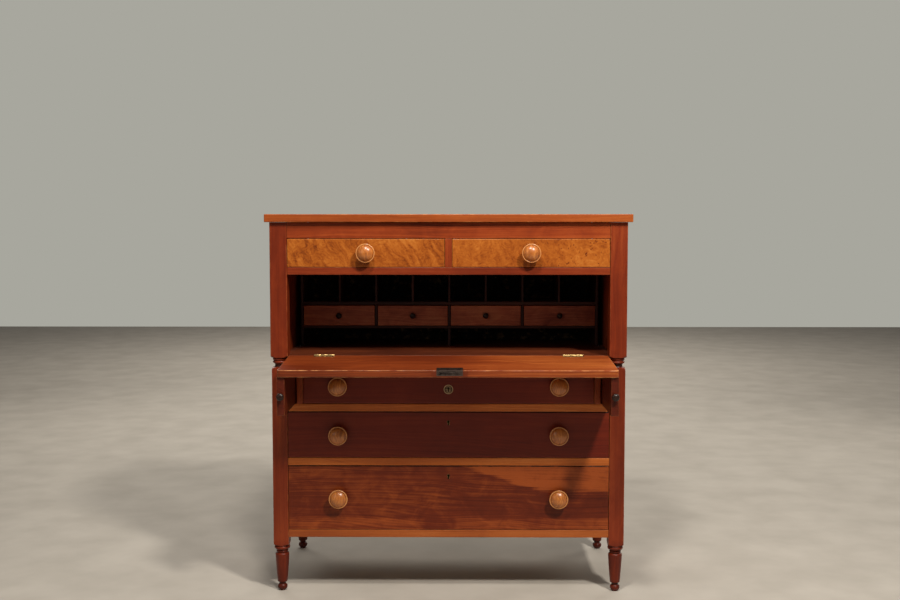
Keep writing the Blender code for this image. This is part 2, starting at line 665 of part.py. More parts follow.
def cut_hinge_seat(board, name, frame, side, barrel_x):
    """Let a leaf and the barrel into a board's face and edge."""
    half = HINGE_LENGTH / 2 + GAP
    seat_y = sorted((-side * KNUCKLE_RADIUS, side * (LEAF_WIDTH + GAP)))
    seat = block(name + "_seat", (barrel_x - half, barrel_x + half), seat_y,
                 (-LEAF_THICKNESS - GAP, KNUCKLE_RADIUS), parent=frame)
    combine(board, seat)
    barrel = rod(name + "_barrel", KNUCKLE_RADIUS + 2 * GAP, HINGE_LENGTH + GAP, (barrel_x, 0, 0), "x",
                 parent=frame, steps=16)
    combine(board, barrel)


def make_hinges(fixed_frame, fall_frame, writing, fall):
    for side, name in ((-1, "left"), (1, "right")):
        barrel_x = side * HINGE_X
        make_leaf(f"hinge_{name}_board_leaf", fixed_frame, 1, True, barrel_x, BRASS)
        make_leaf(f"hinge_{name}_fall_leaf", fall_frame, -1, False, barrel_x, BRASS)
        cut_hinge_seat(writing, f"hinge_{name}_board", fixed_frame, 1, barrel_x)
        cut_hinge_seat(fall, f"hinge_{name}_fall", fall_frame, -1, barrel_x)


def lock_blocks(grow):
    """The lock's plate, case and selvedge as x, y and z pairs in the fall's frame, grown for its mortise."""
    tip = -FALL_REACH
    plate = ((LOCK_X - LOCK_LENGTH / 2, LOCK_X + LOCK_LENGTH / 2), (tip, tip + LOCK_DEPTH), (-LOCK_PLATE, 0.0))
    case = ((LOCK_X - LOCK_CASE_LENGTH / 2, LOCK_X + LOCK_CASE_LENGTH / 2), (tip, tip + LOCK_CASE_DEPTH),
            (-LOCK_CASE_THICKNESS, 0.0))
    selvedge = ((LOCK_X - LOCK_LENGTH / 2, LOCK_X + LOCK_LENGTH / 2), (tip, tip + LOCK_PLATE),
                (-SELVEDGE_HEIGHT, 0.0))
    blocks = []
    for x, y, z in (plate, case, selvedge):
        outside = (y[0] - (LOCK_PLATE if grow else 0.0), y[1] + grow)
        above = z[1] + (LOCK_PLATE if grow else 0.0)
        blocks.append(((x[0] - grow, x[1] + grow), outside, (z[0] - grow, above)))
    return blocks


def make_lock(fall_frame, fall):
    for number, (x, y, z) in enumerate(lock_blocks(GAP)):
        combine(fall, block(f"lock_mortise_{number}", x, y, z, parent=fall_frame))
    plate, case, selvedge = lock_blocks(0.0)
    lock = block("fall_lock", *plate, STEEL, fall_frame)
    combine(lock, block("lock_case", *case, parent=fall_frame), "UNION")
    combine(lock, block("lock_selvedge", *selvedge, parent=fall_frame), "UNION")
    bolt_x = (LOCK_X - BOLT_LENGTH / 2, LOCK_X + BOLT_LENGTH / 2)
    bolt_z = (-BOLT_DEPTH_BELOW_FACE - BOLT_THICKNESS / 2, -BOLT_DEPTH_BELOW_FACE + BOLT_THICKNESS / 2)
    bolt_y = (-FALL_REACH, -FALL_REACH + BOLT_REACH)
    block("fall_lock_bolt", bolt_x, bolt_y, bolt_z, STEEL, fall_frame)
    gap = BOLT_CLEARANCE
    slot = block("bolt_slot", (bolt_x[0] - gap, bolt_x[1] + gap), (bolt_y[0] - 1.0, bolt_y[1] + gap),
                 (bolt_z[0] - gap, bolt_z[1] + gap), parent=fall_frame)
    combine(lock, slot)


def make_fall(desk, writing):
    fixed_frame = make_empty("hinge_line", (0, HINGE_Y, Z_DESK), desk)
    fall_frame = make_empty("fall_axis", (0, HINGE_Y, Z_DESK), desk, tilt=fall_droop())
    half = UPPER_INNER - FALL_SIDE_GAP
    fall = block("fall_board", (-half, half), (-FALL_REACH, -FALL_HEEL_GAP), (-FALL_THICKNESS, 0.0), CHERRY,
                 fall_frame)
    round_edges(fall, FALL_EDGE_RADIUS)
    make_hinges(fixed_frame, fall_frame, writing, fall)
    make_lock(fall_frame, fall)
    key_y = -FALL_REACH + LOCK_CASE_DEPTH / 2
    key_depth = FALL_THICKNESS
    bow = rod("fall_keyhole_bow", KEYHOLE_RADIUS, key_depth, (LOCK_X, key_y, -FALL_THICKNESS), "z",
              parent=fall_frame, steps=16)
    slot = block("fall_keyhole_slot", (LOCK_X - KEYHOLE_SLOT / 2, LOCK_X + KEYHOLE_SLOT / 2),
                 (key_y, key_y + KEYHOLE_HEIGHT - KEYHOLE_RADIUS),
                 (-FALL_THICKNESS - key_depth / 2, -FALL_THICKNESS + key_depth / 2), parent=fall_frame)
    combine(fall, bow)
    combine(fall, slot)


def make_lopers(desk):
    """Pull-out supports, drawn out to their stops under the fall."""
    knob_mesh = turned_mesh("loper_knob", knob_outline(
        LOPER_KNOB_RADIUS, LOPER_KNOB_PROJECTION, LOPER_KNOB_RADIUS * 0.45, 3.0, 12.0, points=4))
    low = Z_DRAWER_1 + LOPER_FOOT_GAP
    for side, name in ((-1, "left"), (1, "right")):
        frame = make_empty(f"loper_{name}_slide", (side * LOPER_X, LOPER_FRONT, (low + LOPER_TOP) / 2), desk)
        rise = (LOPER_TOP - low) / 2
        loper = block(f"loper_{name}", (-LOPER_THICKNESS / 2, LOPER_THICKNESS / 2), (0, LOPER_LENGTH),
                      (-rise, rise), CHERRY, frame)
        turned(f"loper_knob_{name}", knob_mesh, (0, 0, 0), EBONISED, frame, facing_front=True, steps=16)
        hole = rod(f"loper_{name}_hole", 3.0 + GAP, 30.0, (0, 0, 0), "y", parent=frame, steps=16)
        combine(loper, hole)


def make_desk():
    desk = make_empty("desk", (0, CENTRE_SHIFT, 0))
    for y, label, ringed in ((FRONT_POST_Y, "front", True), (BACK_POST_Y, "back", False)):
        for side, name in ((-1, "left"), (1, "right")):
            make_post(f"post_{label}_{name}", side * POST_X, y, ringed, desk)
    make_top(desk)
    make_side_panels(desk)
    make_back_panel(desk)
    make_rails(desk)
    make_upright_dividers(desk)
    writing = make_boards(desk)
    make_gallery(desk)
    make_drawers(desk)
    make_fall(desk, writing)
    make_lopers(desk)


make_desk()
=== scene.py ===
"""Looks of the secretary desk: worn cherry boards, turned posts and knobs, dovetailed drawers, brass and iron."""

import json
import math
import random

import bmesh
import bpy
from mathutils import Matrix, Vector, noise


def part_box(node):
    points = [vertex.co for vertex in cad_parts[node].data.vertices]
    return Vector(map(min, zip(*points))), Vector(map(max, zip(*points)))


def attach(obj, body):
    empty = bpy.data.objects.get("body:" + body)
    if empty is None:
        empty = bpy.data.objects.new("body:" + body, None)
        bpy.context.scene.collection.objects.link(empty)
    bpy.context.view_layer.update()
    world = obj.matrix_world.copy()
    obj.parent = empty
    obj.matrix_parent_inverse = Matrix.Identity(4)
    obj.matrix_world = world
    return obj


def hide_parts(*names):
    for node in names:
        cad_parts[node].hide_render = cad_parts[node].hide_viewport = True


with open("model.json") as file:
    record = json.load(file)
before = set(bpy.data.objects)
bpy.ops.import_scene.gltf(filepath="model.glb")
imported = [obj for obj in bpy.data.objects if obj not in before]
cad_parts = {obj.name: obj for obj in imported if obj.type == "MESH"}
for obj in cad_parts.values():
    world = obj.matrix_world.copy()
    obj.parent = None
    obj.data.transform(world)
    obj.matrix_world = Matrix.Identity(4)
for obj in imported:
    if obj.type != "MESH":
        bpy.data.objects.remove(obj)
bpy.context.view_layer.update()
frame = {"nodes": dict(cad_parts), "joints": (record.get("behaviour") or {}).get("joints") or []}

MM = 0.001
X, Y, Z = 0, 1, 2

SIDES = ("left", "right")
FIT = 0.3 * MM

# Where things are, read from the frame. The fall is built in a frame of its own: its hinge line along x, its
# face at z = 0 and its edge at y = -FALL_REACH
CASE_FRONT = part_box("post_front_left")[0].y
DESK_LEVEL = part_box("writing_board")[1].z
HINGE = next(joint for joint in frame["joints"] if joint["name"] == "fall_hinge")
HINGE_PLACE = Vector(HINGE["pos_m"])
FALL_FRAME = Matrix.Translation(HINGE_PLACE) @ Matrix.Rotation(math.radians(HINGE["range_deg"][1] - 90.0), 4, "X")
FALL_HALF = 503 * MM
FALL_REACH = 253 * MM
FALL_THICK = 22 * MM

# Turning on the posts, as in the frame: rings just under the writing surface, a foot at the floor
RINGS_TOP = DESK_LEVEL - 6 * MM
RINGS_HEIGHT = 34 * MM
FOOT_HEIGHT = 150 * MM
STILE_HALF = 27 * MM
POST_HALF = 24 * MM
ARRIS = 1.3 * MM

# Hinges, screws and the lock, whose parts are (half width, depth from the edge, depth below the face)
LEAF_HALF = 32 * MM
LEAF_REACH = 24 * MM
LEAF_THICK = 2 * MM
LEAF_SCREWS = (-22 * MM, 0.0, 22 * MM)
LEAF_SCREW_LINE = 14.5 * MM
KNUCKLE = 3 * MM
KNUCKLE_SEAT = 3.6 * MM
SCREW_HOLE = 3.5 * MM
SCREW_SUNK = 0.15 * MM
LOCK_PLATE = (39 * MM, 44 * MM, 2 * MM)
LOCK_CASE = (29 * MM, 36 * MM, 13 * MM)
LOCK_SELVEDGE = (39 * MM, 2 * MM, 17 * MM)

# Case drawers: wall of the box, length of the dovetails, radii of the holes for a knob and for the keyhole
# plate, and a keyhole's (radius, slot width, height)
DRAWER_WALL = 10 * MM
LAP = 15 * MM
KNOB_HOLE = 7.2 * MM
PLATE_SEAT = 15.3 * MM
KEYHOLE = (3.5 * MM, 3.5 * MM, 15 * MM)

# Camera, placed from the case's front
EYE_HEIGHT = 1.179
EYE_DISTANCE = 3.562
EYE_SIDE = 0.036
EYE_PITCH = -0.0691
EYE_TURN = 0.0087
LENS = 45.72


# Materials -------------------------------------------------------------------------------------------

def srgb(red, green, blue):
    """An 8-bit display colour as the linear colour that nodes take."""
    def linear(value):
        value /= 255.0
        return value / 12.92 if value <= 0.04045 else ((value + 0.055) / 1.055) ** 2.4
    return (linear(red), linear(green), linear(blue), 1.0)


class Signal:
    """A node's output that takes part in sums: each operator adds a node."""

    def __init__(self, recipe, socket):
        self.recipe = recipe
        self.socket = socket

    def clamped(self):
        self.socket.node.use_clamp = True
        return self

    def band(self, low, high, start=0.0, stop=1.0):
        """From start, at or below low, to stop, at or above high."""
        return self.recipe.add("ShaderNodeMapRange", {"Value": self, "From Min": low, "From Max": high,
                                                      "To Min": start, "To Max": stop})

    def __add__(self, other):
        return self.recipe.math("ADD", self, other)

    def __sub__(self, other):
        return self.recipe.math("SUBTRACT", self, other)

    def __rsub__(self, other):
        return self.recipe.math("SUBTRACT", other, self)

    def __mul__(self, other):
        return self.recipe.math("MULTIPLY", self, other)

    def __abs__(self):
        return self.recipe.math("ABSOLUTE", self, 0.0)

    __radd__ = __add__


class Recipe:
    """A node material being put together. Most methods add a node and return its output."""

    def __init__(self, name, roughness, metallic=0.0, specular=0.35, coat=0.0):
        self.material = bpy.data.materials.new(name)
        self.material.use_nodes = True
        self.tree = self.material.node_tree
        self.shader = self.tree.nodes["Principled BSDF"]
        for key, value in (("Roughness", roughness), ("Metallic", metallic), ("Specular IOR Level", specular),
                           ("Coat Weight", coat), ("Coat Roughness", 0.22)):
            self.shader.inputs[key].default_value = value

    def feed(self, socket, value):
        if isinstance(value, Signal):
            self.tree.links.new(value.socket, socket)
        else:
            socket.default_value = value

    def add(self, kind, inputs, output=0, **settings):
        node = self.tree.nodes.new(kind)
        for key, value in settings.items():
            setattr(node, key, value)
        for key, value in inputs.items():
            self.feed(node.inputs[key], value)
        return Signal(self, node.outputs[output])

    def math(self, operation, first, second):
        return self.add("ShaderNodeMath", {0: first, 1: second}, operation=operation)

    def stretch(self, vector, scale):
        return self.add("ShaderNodeVectorMath", {0: vector, 1: scale}, operation="MULTIPLY")

    def shift(self, vector, offset):
        return self.add("ShaderNodeVectorMath", {0: vector, 1: offset}, operation="ADD")

    def split(self, vector):
        """A vector's x, y and z."""
        node = self.tree.nodes.new("ShaderNodeSeparateXYZ")
        self.feed(node.inputs[0], vector)
        return [Signal(self, output) for output in node.outputs]

    def noise(self, vector, scale, detail=2.0, rough=0.5, distortion=0.0):
        """Noise at one scale, or at one for each axis."""
        if isinstance(scale, tuple):
            vector, scale = self.stretch(vector, scale), 1.0
        return self.add("ShaderNodeTexNoise", {"Vector": vector, "Scale": scale, "Detail": detail,
                                               "Roughness": rough, "Distortion": distortion})

    def mix(self, factor, first, second):
        return self.add("ShaderNodeMix", {0: factor, 6: first, 7: second}, output=2, data_type="RGBA")

    def ramp(self, factor, *stops):
        node = self.tree.nodes.new("ShaderNodeValToRGB")
        self.feed(node.inputs[0], factor)
        elements = node.color_ramp.elements
        while len(elements) < len(stops):
            elements.new(0.5)
        for element, (position, colour) in zip(elements, stops):
            element.position = position
            element.color = colour
        return Signal(self, node.outputs[0])

    def attribute(self, name):
        return self.add("ShaderNodeAttribute", {}, output=2, attribute_name=name)

    def coordinates(self):
        """Object coordinates, which are the desk's own at rest."""
        return self.split(self.add("ShaderNodeTexCoord", {}, output=3))

    def place(self, axis, seed):
        """Object coordinates with the grain along the first one, moved to a part of the tree of its own."""
        shift = random.Random(seed)
        parts = self.coordinates()
        order = {X: (0, 1, 2), Y: (1, 0, 2), Z: (2, 0, 1)}[axis]
        turned_to = self.add("ShaderNodeCombineXYZ", {i: parts[n] for i, n in enumerate(order)})
        return self.shift(turned_to, [shift.uniform(-20, 20) for _ in range(3)])

    def finish(self, colour, roughness=None, height=None, depth=0.0002):
        self.feed(self.shader.inputs["Base Color"], colour)
        if roughness is not None:
            self.feed(self.shader.inputs["Roughness"], roughness)
        if height is not None:
            bump = self.add("ShaderNodeBump", {"Height": height, "Distance": depth, "Strength": 0.6})
            self.feed(self.shader.inputs["Normal"], bump)
        return self.material


CHERRY_TONES = (srgb(96, 32, 10), srgb(136, 54, 20), srgb(168, 78, 32))
WORN = srgb(214, 140, 78)
# Dark colour for grime and for painted shade: hollows of turnings, a shadow line on drawer tops, the writing
# compartment's back
GRIME_AND_SHADE = srgb(26, 12, 7)


def weighed(*pairs):
    """A tone about 0.5 from (signal, share) pairs."""
    tone = 0.5
    for value, share in pairs:
        tone = tone + (value - 0.5) * share
    return tone


def wood(name, axis, seed, tones, rings=0.24, figure=0.16, patches=0.55, streaks=0.3, roughness=0.4,
         worn=WORN, wear_share=0.3, coat=0.06, specular=0.22, rough_sawn=0.0, zones=None):
    """Solid wood: growth rings about an off-centre pith, fibres, cross figure, patches and gum flecks."""
    make = Recipe(name, roughness, specular=specular, coat=coat)
    grain = make.place(axis, seed)
    bend = make.noise(grain, (1.3, 5.0, 5.0))
    along, across, through = make.split(make.stretch(grain, (0.02, 1.0, 1.0)))
    taper = (across + bend * 0.05) * 0.45 + (through + bend * 0.12) + along
    ring = make.add("ShaderNodeTexNoise", {"W": taper, "Scale": 190.0, "Detail": 2.0}, noise_dimensions="1D")
    fibre = make.noise(grain, (7.0, 520.0, 520.0), 3.0, 0.6)
    strand = make.noise(grain, (2.5, 85.0, 85.0))
    mottle = make.noise(grain, (16.0, 22.0, 22.0), 3.0, 0.6, 0.8)
    patch = make.noise(grain, (2.2, 5.5, 5.5), 1.0, 0.4, 0.4)
    tone = weighed((ring, rings), (fibre, streaks * 0.6), (strand, streaks), (mottle, figure), (patch, patches))
    if zones:
        tone = tone + zones(*make.coordinates(), strand)
    dark, middle, light = tones
    colour = make.ramp(tone, (0.28, dark), (0.5, middle), (0.74, light))
    fleck = make.noise(grain, (90.0, 700.0, 700.0), 1.0).band(0.66, 0.74)
    colour = make.mix(fleck * 0.5, colour, dark)
    patina = make.noise(grain, 38.0, 3.0, 0.6)
    handled = make.noise(grain, 7.0, 3.0, 0.6).band(0.36, 0.58)
    rubbed = (make.attribute("wear") * patina.band(0.38, 0.62)).clamped()
    wear = rubbed * (handled * 0.75 + 0.25) * wear_share
    # Grime and painted shade: real grime, plus painted shade in hollows and creases, a painted shadow line on drawer
    # tops and on the compartment's back boards
    grime_and_shade = (make.attribute("grime_and_shade") * patina.band(0.2, 0.62)).clamped()
    colour = make.mix(grime_and_shade, make.mix(wear, colour, worn), GRIME_AND_SHADE)
    gloss = patina * 0.14 + (roughness - 0.07) + wear * 0.12
    height = fibre * 0.6 + patina * 0.25
    if rough_sawn:
        height = height + make.noise(grain, (240.0, 14.0, 14.0), 2.0, 0.6) * rough_sawn
    return make.finish(colour, gloss, height, depth=0.00022 + 0.0006 * rough_sawn)


def poplar(name, axis, seed, roughness, rough_sawn):
    """Plain poplar, for what a drawer or the back hides."""
    return wood(name, axis, seed, POPLAR_TONES, rings=0.7, roughness=roughness, coat=0.0, specular=0.25,
                worn=srgb(190, 156, 110), rough_sawn=rough_sawn)


# Zones: what to add to a wood's tone at x, y, z in the desk, in metres
def drawer_3_zones(x, _y, z, strand):
    """Painted light on the deep drawer: a lighter band along the bottom, lit by a lamp below the fall's shadow, and a
    lighter sweep in the upper right where light falls.
    """
    z = z + (strand - 0.5) * 0.03
    lit_sweep = (z - x.band(0.02, 0.29, 0.412, 0.322)).band(-0.002, 0.010)
    gap = x.band(-0.085, -0.07) * x.band(0.03, 0.015)
    lamp_lit_band = z.band(0.242, 0.236) * (1.0 - gap * 0.75)
    return lit_sweep * 0.3 + lamp_lit_band * 0.12


def drawer_1_zones(x, _y, _z, _strand):
    """The top long drawer is redder and lighter left of its middle."""
    return x.band(-0.34, -0.16) * x.band(0.0, -0.14) * 0.12


def post_zones(_x, _y, z, _strand):
    """Posts are lighter above the rings and darker at the feet."""
    return z.band(DESK_LEVEL - 0.02, DESK_LEVEL) * 0.03 - z.band(0.17, 0.13) * 0.22


def fall_zones(x, y, z, strand):
    """The fall is painted darker on the left and lighter, more orange on the right, as painted light from lamps on
    the right; it is also darker where hands take it by the lock.
    """
    front = HINGE_PLACE.y - FALL_REACH
    near_lock = abs(x - 0.006).band(0.056, 0.042)
    at_edge = z.band(DESK_LEVEL - 0.0115, DESK_LEVEL - 0.0135) * y.band(front + 0.012, front + 0.004)
    handled = near_lock * at_edge * strand.band(0.35, 0.6)
    # Painted light: lighter towards the right and painted shade towards the left; real handling dirt by the lock
    return x.band(-0.05, 0.3) * 0.06 - (x.band(0.12, -0.05) * 0.14 + handled * 0.5)


def burl_maple(name, seed, flames, eyes):
    """Figured veneer: licks of dark and light that swirl, and small dark eyes crowding to the right."""
    make = Recipe(name, 0.36, specular=0.25, coat=0.08)
    grain = make.place(X, seed)
    sway = make.add("ShaderNodeTexNoise", {"Vector": grain, "Scale": 9.0, "Detail": 3.0}, output=1)
    swayed = make.shift(grain, make.stretch(sway, (0.07, 0.07, 0.07)))
    lean = make.add("ShaderNodeVectorRotate", {"Vector": swayed, "Angle": 0.45}, rotation_type="Y_AXIS")
    lick = make.noise(lean, (70.0, 30.0, 17.0), 2.0, 0.5, 0.6)
    curl = make.noise(swayed, (44.0, 30.0, 60.0), 4.0, 0.6, 2.2)
    patch = make.noise(grain, (5.0, 5.0, 9.0), 1.0)
    fine = make.noise(swayed, (420.0, 260.0, 260.0), 2.0, 0.6)
    tone = weighed((lick, flames), (curl, 0.62), (patch, 0.35), (fine, 0.16))
    colour = make.ramp(tone, (0.22, srgb(104, 45, 12)), (0.42, srgb(150, 76, 21)), (0.58, srgb(172, 95, 31)),
                       (0.8, srgb(192, 119, 49)))
    cell = make.add("ShaderNodeTexVoronoi", {"Vector": swayed, "Scale": 105.0, "Randomness": 1.0})
    crowd = make.noise(grain, 11.0).band(0.42, 0.56) * make.coordinates()[X].band(0.1, 0.34)
    colour = make.mix(cell.band(0.3, 0.12) * crowd * eyes, colour, srgb(96, 36, 10))
    wear = (make.attribute("wear") * fine.band(0.35, 0.6)).clamped()
    colour = make.mix(wear * 0.5, colour, srgb(206, 136, 66))
    return make.finish(colour, fine * 0.12 + 0.28, fine + lick * 0.5, depth=0.00012)


def knob_maple(name, seed):
    """Turned figured maple, amber where the finish has pooled in the groove."""
    make = Recipe(name, 0.32, specular=0.4, coat=0.3)
    grain = make.place(Z, seed)
    swayed = make.shift(grain, make.stretch(make.noise(grain, 30.0), (0.02, 0.02, 0.02)))
    curl = make.noise(swayed, (40.0, 190.0, 60.0), 3.0, 0.55, 0.8)
    fibre = make.noise(grain, (60.0, 700.0, 700.0))
    colour = make.ramp(curl * 0.8 + fibre * 0.2, (0.3, srgb(116, 50, 12)), (0.5, srgb(168, 90, 30)),
                       (0.7, srgb(202, 126, 52)))
    colour = make.mix(make.attribute("wear") * 0.6, colour, srgb(222, 158, 96))
    colour = make.mix((make.attribute("grime_and_shade") * 0.85).clamped(), colour, srgb(84, 36, 14))
    return make.finish(colour, None, fibre + curl * 0.4, depth=0.00015)


def ebonised(name):
    """Small dark-stained turnings, rubbed where fingers take them."""
    make = Recipe(name, 0.34, specular=0.3, coat=0.08)
    grain = make.place(Y, 5)
    fibre = make.noise(grain, (30.0, 500.0, 500.0))
    rub = make.noise(grain, 120.0, 3.0)
    colour = make.ramp(fibre, (0.3, srgb(14, 7, 5)), (0.7, srgb(34, 16, 11)))
    wear = (make.attribute("wear") * rub.band(0.35, 0.65)).clamped()
    colour = make.mix(wear * 0.3, colour, srgb(90, 50, 32))
    return make.finish(colour, rub * 0.2 + 0.26, fibre, depth=0.0001)


def metal(name, dark, bright, roughness, scale, pitting):
    """Old metal: a mottled patina over a brighter ground, rubbed bright on its edges."""
    make = Recipe(name, roughness, metallic=0.85, specular=0.5)
    place = make.place(X, 11)
    mottle = make.noise(place, scale, 4.0, 0.6, 0.4)
    pits = make.noise(place, scale * 9.0, 2.0, 0.6)
    tone = (mottle + make.attribute("wear") * 0.35).clamped()
    colour = make.ramp(tone, (0.36, dark), (0.66, bright))
    colour = make.mix((make.attribute("grime_and_shade") * 0.9).clamped(), colour, GRIME_AND_SHADE)
    return make.finish(colour, (roughness + 0.16) - mottle * 0.3, pits + mottle, depth=pitting)


# Meshes ----------------------------------------------------------------------------------------------

def new_object(name, data):
    obj = bpy.data.objects.new(name, data)
    bpy.context.scene.collection.objects.link(obj)
    return obj


def add_piece(name, mesh, material, body, replaces=()):
    """Put a mesh built in the desk's own frame on its body."""
    if not mesh.materials:
        mesh.materials.append(material)
    piece = new_object(name, mesh)
    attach(piece, body)
    if replaces:
        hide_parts(*replaces)
    return piece


def add_copy(name, mesh, matrix, material, body, replaces=()):
    copy = mesh.copy()
    copy.transform(matrix)
    add_piece(name, copy, material, body, replaces)


def middle_of(node):
    low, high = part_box(node)
    return (low + high) / 2


def in_mm(outline):
    """A turned outline's radii and heights from millimetres; its wear and its grime and painted shade stay."""
    return [(radius * MM, height * MM, *marks) for radius, height, *marks in outline]


def mark(mesh, name, values):
    layer = mesh.attributes.get(name) or mesh.attributes.new(name, "FLOAT", "POINT")
    layer.data.foreach_set("value", values)


def smooth(mesh, angle):
    mesh.shade_smooth()
    mesh.set_sharp_from_angle(angle=math.radians(angle))
    return mesh


def stations(low, high, radius, step):
    """Places along one edge of a board: a quarter round at each end, a margin, then even steps."""
    ends = [radius * (1.0 - math.tan(math.radians(angle))) for angle in (45, 30, 15, 0)]
    margin = radius + 2.5 * MM
    inner = (high - low) - 2 * margin
    if inner <= 0.5 * MM:
        ends.append((high - low) / 2)
        return sorted({round(low + e, 7) for e in ends} | {round(high - e, 7) for e in ends})
    count = max(1, round(inner / step))
    middle = [low + margin + inner * index / count for index in range(count + 1)]
    return [low + end for end in ends] + middle + [high - end for end in reversed(ends)]


def board_mesh(name, low, high, radius=ARRIS, step=30 * MM, chips=0.35 * MM, wave=0.12 * MM, seed=0):
    """A board with rounded, slightly chipped arrises and hand-planed faces, inside its own limits."""
    rows = [stations(low[i], high[i], radius, step) for i in range(3)]
    shape = bmesh.new()
    found = {}
    wear_layer = shape.verts.layers.float.new("wear")
    inner_low = [low[i] + radius for i in range(3)]
    inner_high = [high[i] - radius for i in range(3)]

    def corner(key):
        if key in found:
            return found[key]
        point = Vector([rows[i][key[i]] for i in range(3)])
        core = Vector([min(max(point[i], inner_low[i]), inner_high[i]) for i in range(3)])
        outward = (point - core).normalized()
        place = core + outward * radius
        on_edge = sum(1 for i in range(3) if not 3 <= key[i] < len(rows[i]) - 3) > 1
        spot = place * 9.0 + Vector((seed * 7.3, seed * 3.1, seed * 5.7))
        dip = wave * (0.5 + 0.5 * noise.noise(spot))
        if on_edge:
            chip = noise.noise(place * 85.0 + Vector((seed, seed, seed))) + 0.35 * noise.noise(place * 300.0)
            dip += chips * max(0.0, chip + 0.1)
        vert = shape.verts.new(place - outward * dip)
        vert[wear_layer] = 1.0 if on_edge else 0.0
        found[key] = vert
        return vert

    for axis in range(3):
        first, second = [i for i in range(3) if i != axis]
        for end in (0, len(rows[axis]) - 1):
            flip = (end == 0) != (axis == 1)
            for a in range(len(rows[first]) - 1):
                for b in range(len(rows[second]) - 1):
                    keys = []
                    for da, db in ((0, 0), (1, 0), (1, 1), (0, 1)):
                        key = [0, 0, 0]
                        key[axis], key[first], key[second] = end, a + da, b + db
                        keys.append(tuple(key))
                    if flip:
                        keys.reverse()
                    shape.faces.new([corner(key) for key in keys])
    return smooth(mesh_of(shape, name), 50.0)


def round_plan_corners(mesh, half, front, radius):
    """Round the two front corners of a board lying level, as seen from above."""
    for vert in mesh.vertices:
        across = abs(vert.co.x) - (half - radius)
        along = (front + radius) - vert.co.y
        if across > 0 and along > 0:
            pull = max(across, along) / math.hypot(across, along)
            vert.co.x = math.copysign(half - radius + across * pull, vert.co.x)
            vert.co.y = front + radius - along * pull


def mesh_of(shape, name):
    mesh = bpy.data.meshes.new(name)
    shape.to_mesh(mesh)
    shape.free()
    return mesh


def skin(shape, rings):
    """Faces between one ring of vertices and the next; a ring of one vertex is a tip."""
    steps = max(len(ring) for ring in rings)
    for upper, lower in zip(rings, rings[1:]):
        for index in range(steps):
            after = (index + 1) % steps
            if len(upper) == 1:
                shape.faces.new((upper[0], lower[index], lower[after]))
            elif len(lower) == 1:
                shape.faces.new((upper[index], lower[0], upper[after]))
            else:
                shape.faces.new((upper[index], lower[index], lower[after], upper[after]))


def lathe_mesh(name, outline, steps=56):
    """Turn (radius, height, wear, grime and painted shade) points about z, from the top down; the ends close on the
    axis.
    """
    shape = bmesh.new()
    layers = [shape.verts.layers.float.new(layer) for layer in ("wear", "grime_and_shade")]
    rings = []
    for radius, height, *marks in outline:
        ring = []
        for index in range(1 if radius < 1e-6 else steps):
            angle = 2 * math.pi * index / steps
            vert = shape.verts.new((radius * math.cos(angle), radius * math.sin(angle), height))
            for layer, value in zip(layers, marks):
                vert[layer] = value
            ring.append(vert)
        rings.append(ring)
    skin(shape, rings)
    return smooth(mesh_of(shape, name), 35.0)


def prism_mesh(name, outline, low, high, axis):
    """An outline in the two other axes (in x, y, z order), carried from low to high along axis."""
    shape = bmesh.new()
    first, second = [i for i in range(3) if i != axis]
    ends = []
    for along in (low, high):
        end = []
        for pair in outline:
            place = Vector()
            place[axis], place[first], place[second] = along, pair[0], pair[1]
            end.append(shape.verts.new(place))
        ends.append(end)
    bottom, top = ends
    shape.faces.new(bottom)
    shape.faces.new(list(reversed(top)))
    for index in range(len(outline)):
        after = (index + 1) % len(outline)
        shape.faces.new((bottom[after], bottom[index], top[index], top[after]))
    bmesh.ops.recalc_face_normals(shape, faces=shape.faces)
    return mesh_of(shape, name)


def box_mesh(low, high):
    return prism_mesh("cutter", [(low[0], low[1]), (high[0], low[1]), (high[0], high[1]), (low[0], high[1])],
                      low[2], high[2], Z)


def rod_mesh(radius, length, centre, axis, steps=24):
    """A plain round bar along x, y or z."""
    shape = bmesh.new()
    bmesh.ops.create_cone(shape, cap_ends=True, segments=steps, radius1=radius, radius2=radius, depth=length)
    mesh = mesh_of(shape, "bar")
    turn = {X: Matrix.Rotation(math.pi / 2, 4, "Y"), Y: Matrix.Rotation(math.pi / 2, 4, "X"), Z: Matrix()}[axis]
    mesh.transform(Matrix.Translation(centre) @ turn)
    return mesh


def modified(mesh, modifiers):
    """The mesh after modifiers, each a type and its settings."""
    target = new_object("modified", mesh)
    for kind, settings in modifiers:
        modifier = target.modifiers.new(kind.lower(), kind)
        for key, value in settings.items():
            setattr(modifier, key, value)
    bpy.context.view_layer.update()
    result = bpy.data.meshes.new_from_object(target.evaluated_get(bpy.context.evaluated_depsgraph_get()))
    bpy.data.objects.remove(target)
    return smooth(result, 35.0)


def carve(mesh, cutters, operation="DIFFERENCE"):
    """The mesh with each closed cutter taken away, or added."""
    tools = [new_object("tool", cutter) for cutter in cutters]
    result = modified(mesh, [("BOOLEAN", {"operation": operation, "solver": "EXACT", "object": tool})
                             for tool in tools])
    for tool in tools:
        bpy.data.objects.remove(tool)
    return result


def eased(mesh, width, segments=2):
    """The mesh with its sharp edges rounded."""
    return modified(mesh, [("BEVEL", {"width": width, "segments": segments, "limit_method": "ANGLE",
                                      "angle_limit": math.radians(40.0)})])


def facing_front(place, spin=0.0):
    """For what was turned about z: stands it out of the front at a place."""
    return Matrix.Translation(place) @ Matrix.Rotation(math.pi / 2, 4, "X") @ Matrix.Rotation(spin, 4, "Z")


def arc(centre_r, centre_z, radius, start, stop, count):
    """Points of a turned outline on an arc, in degrees from the outward direction."""
    turns = [math.radians(start + (stop - start) * index / count) for index in range(count + 1)]
    return [(centre_r + radius * math.cos(t), centre_z + radius * math.sin(t)) for t in turns]


# Posts -----------------------------------------------------------------------------------------------

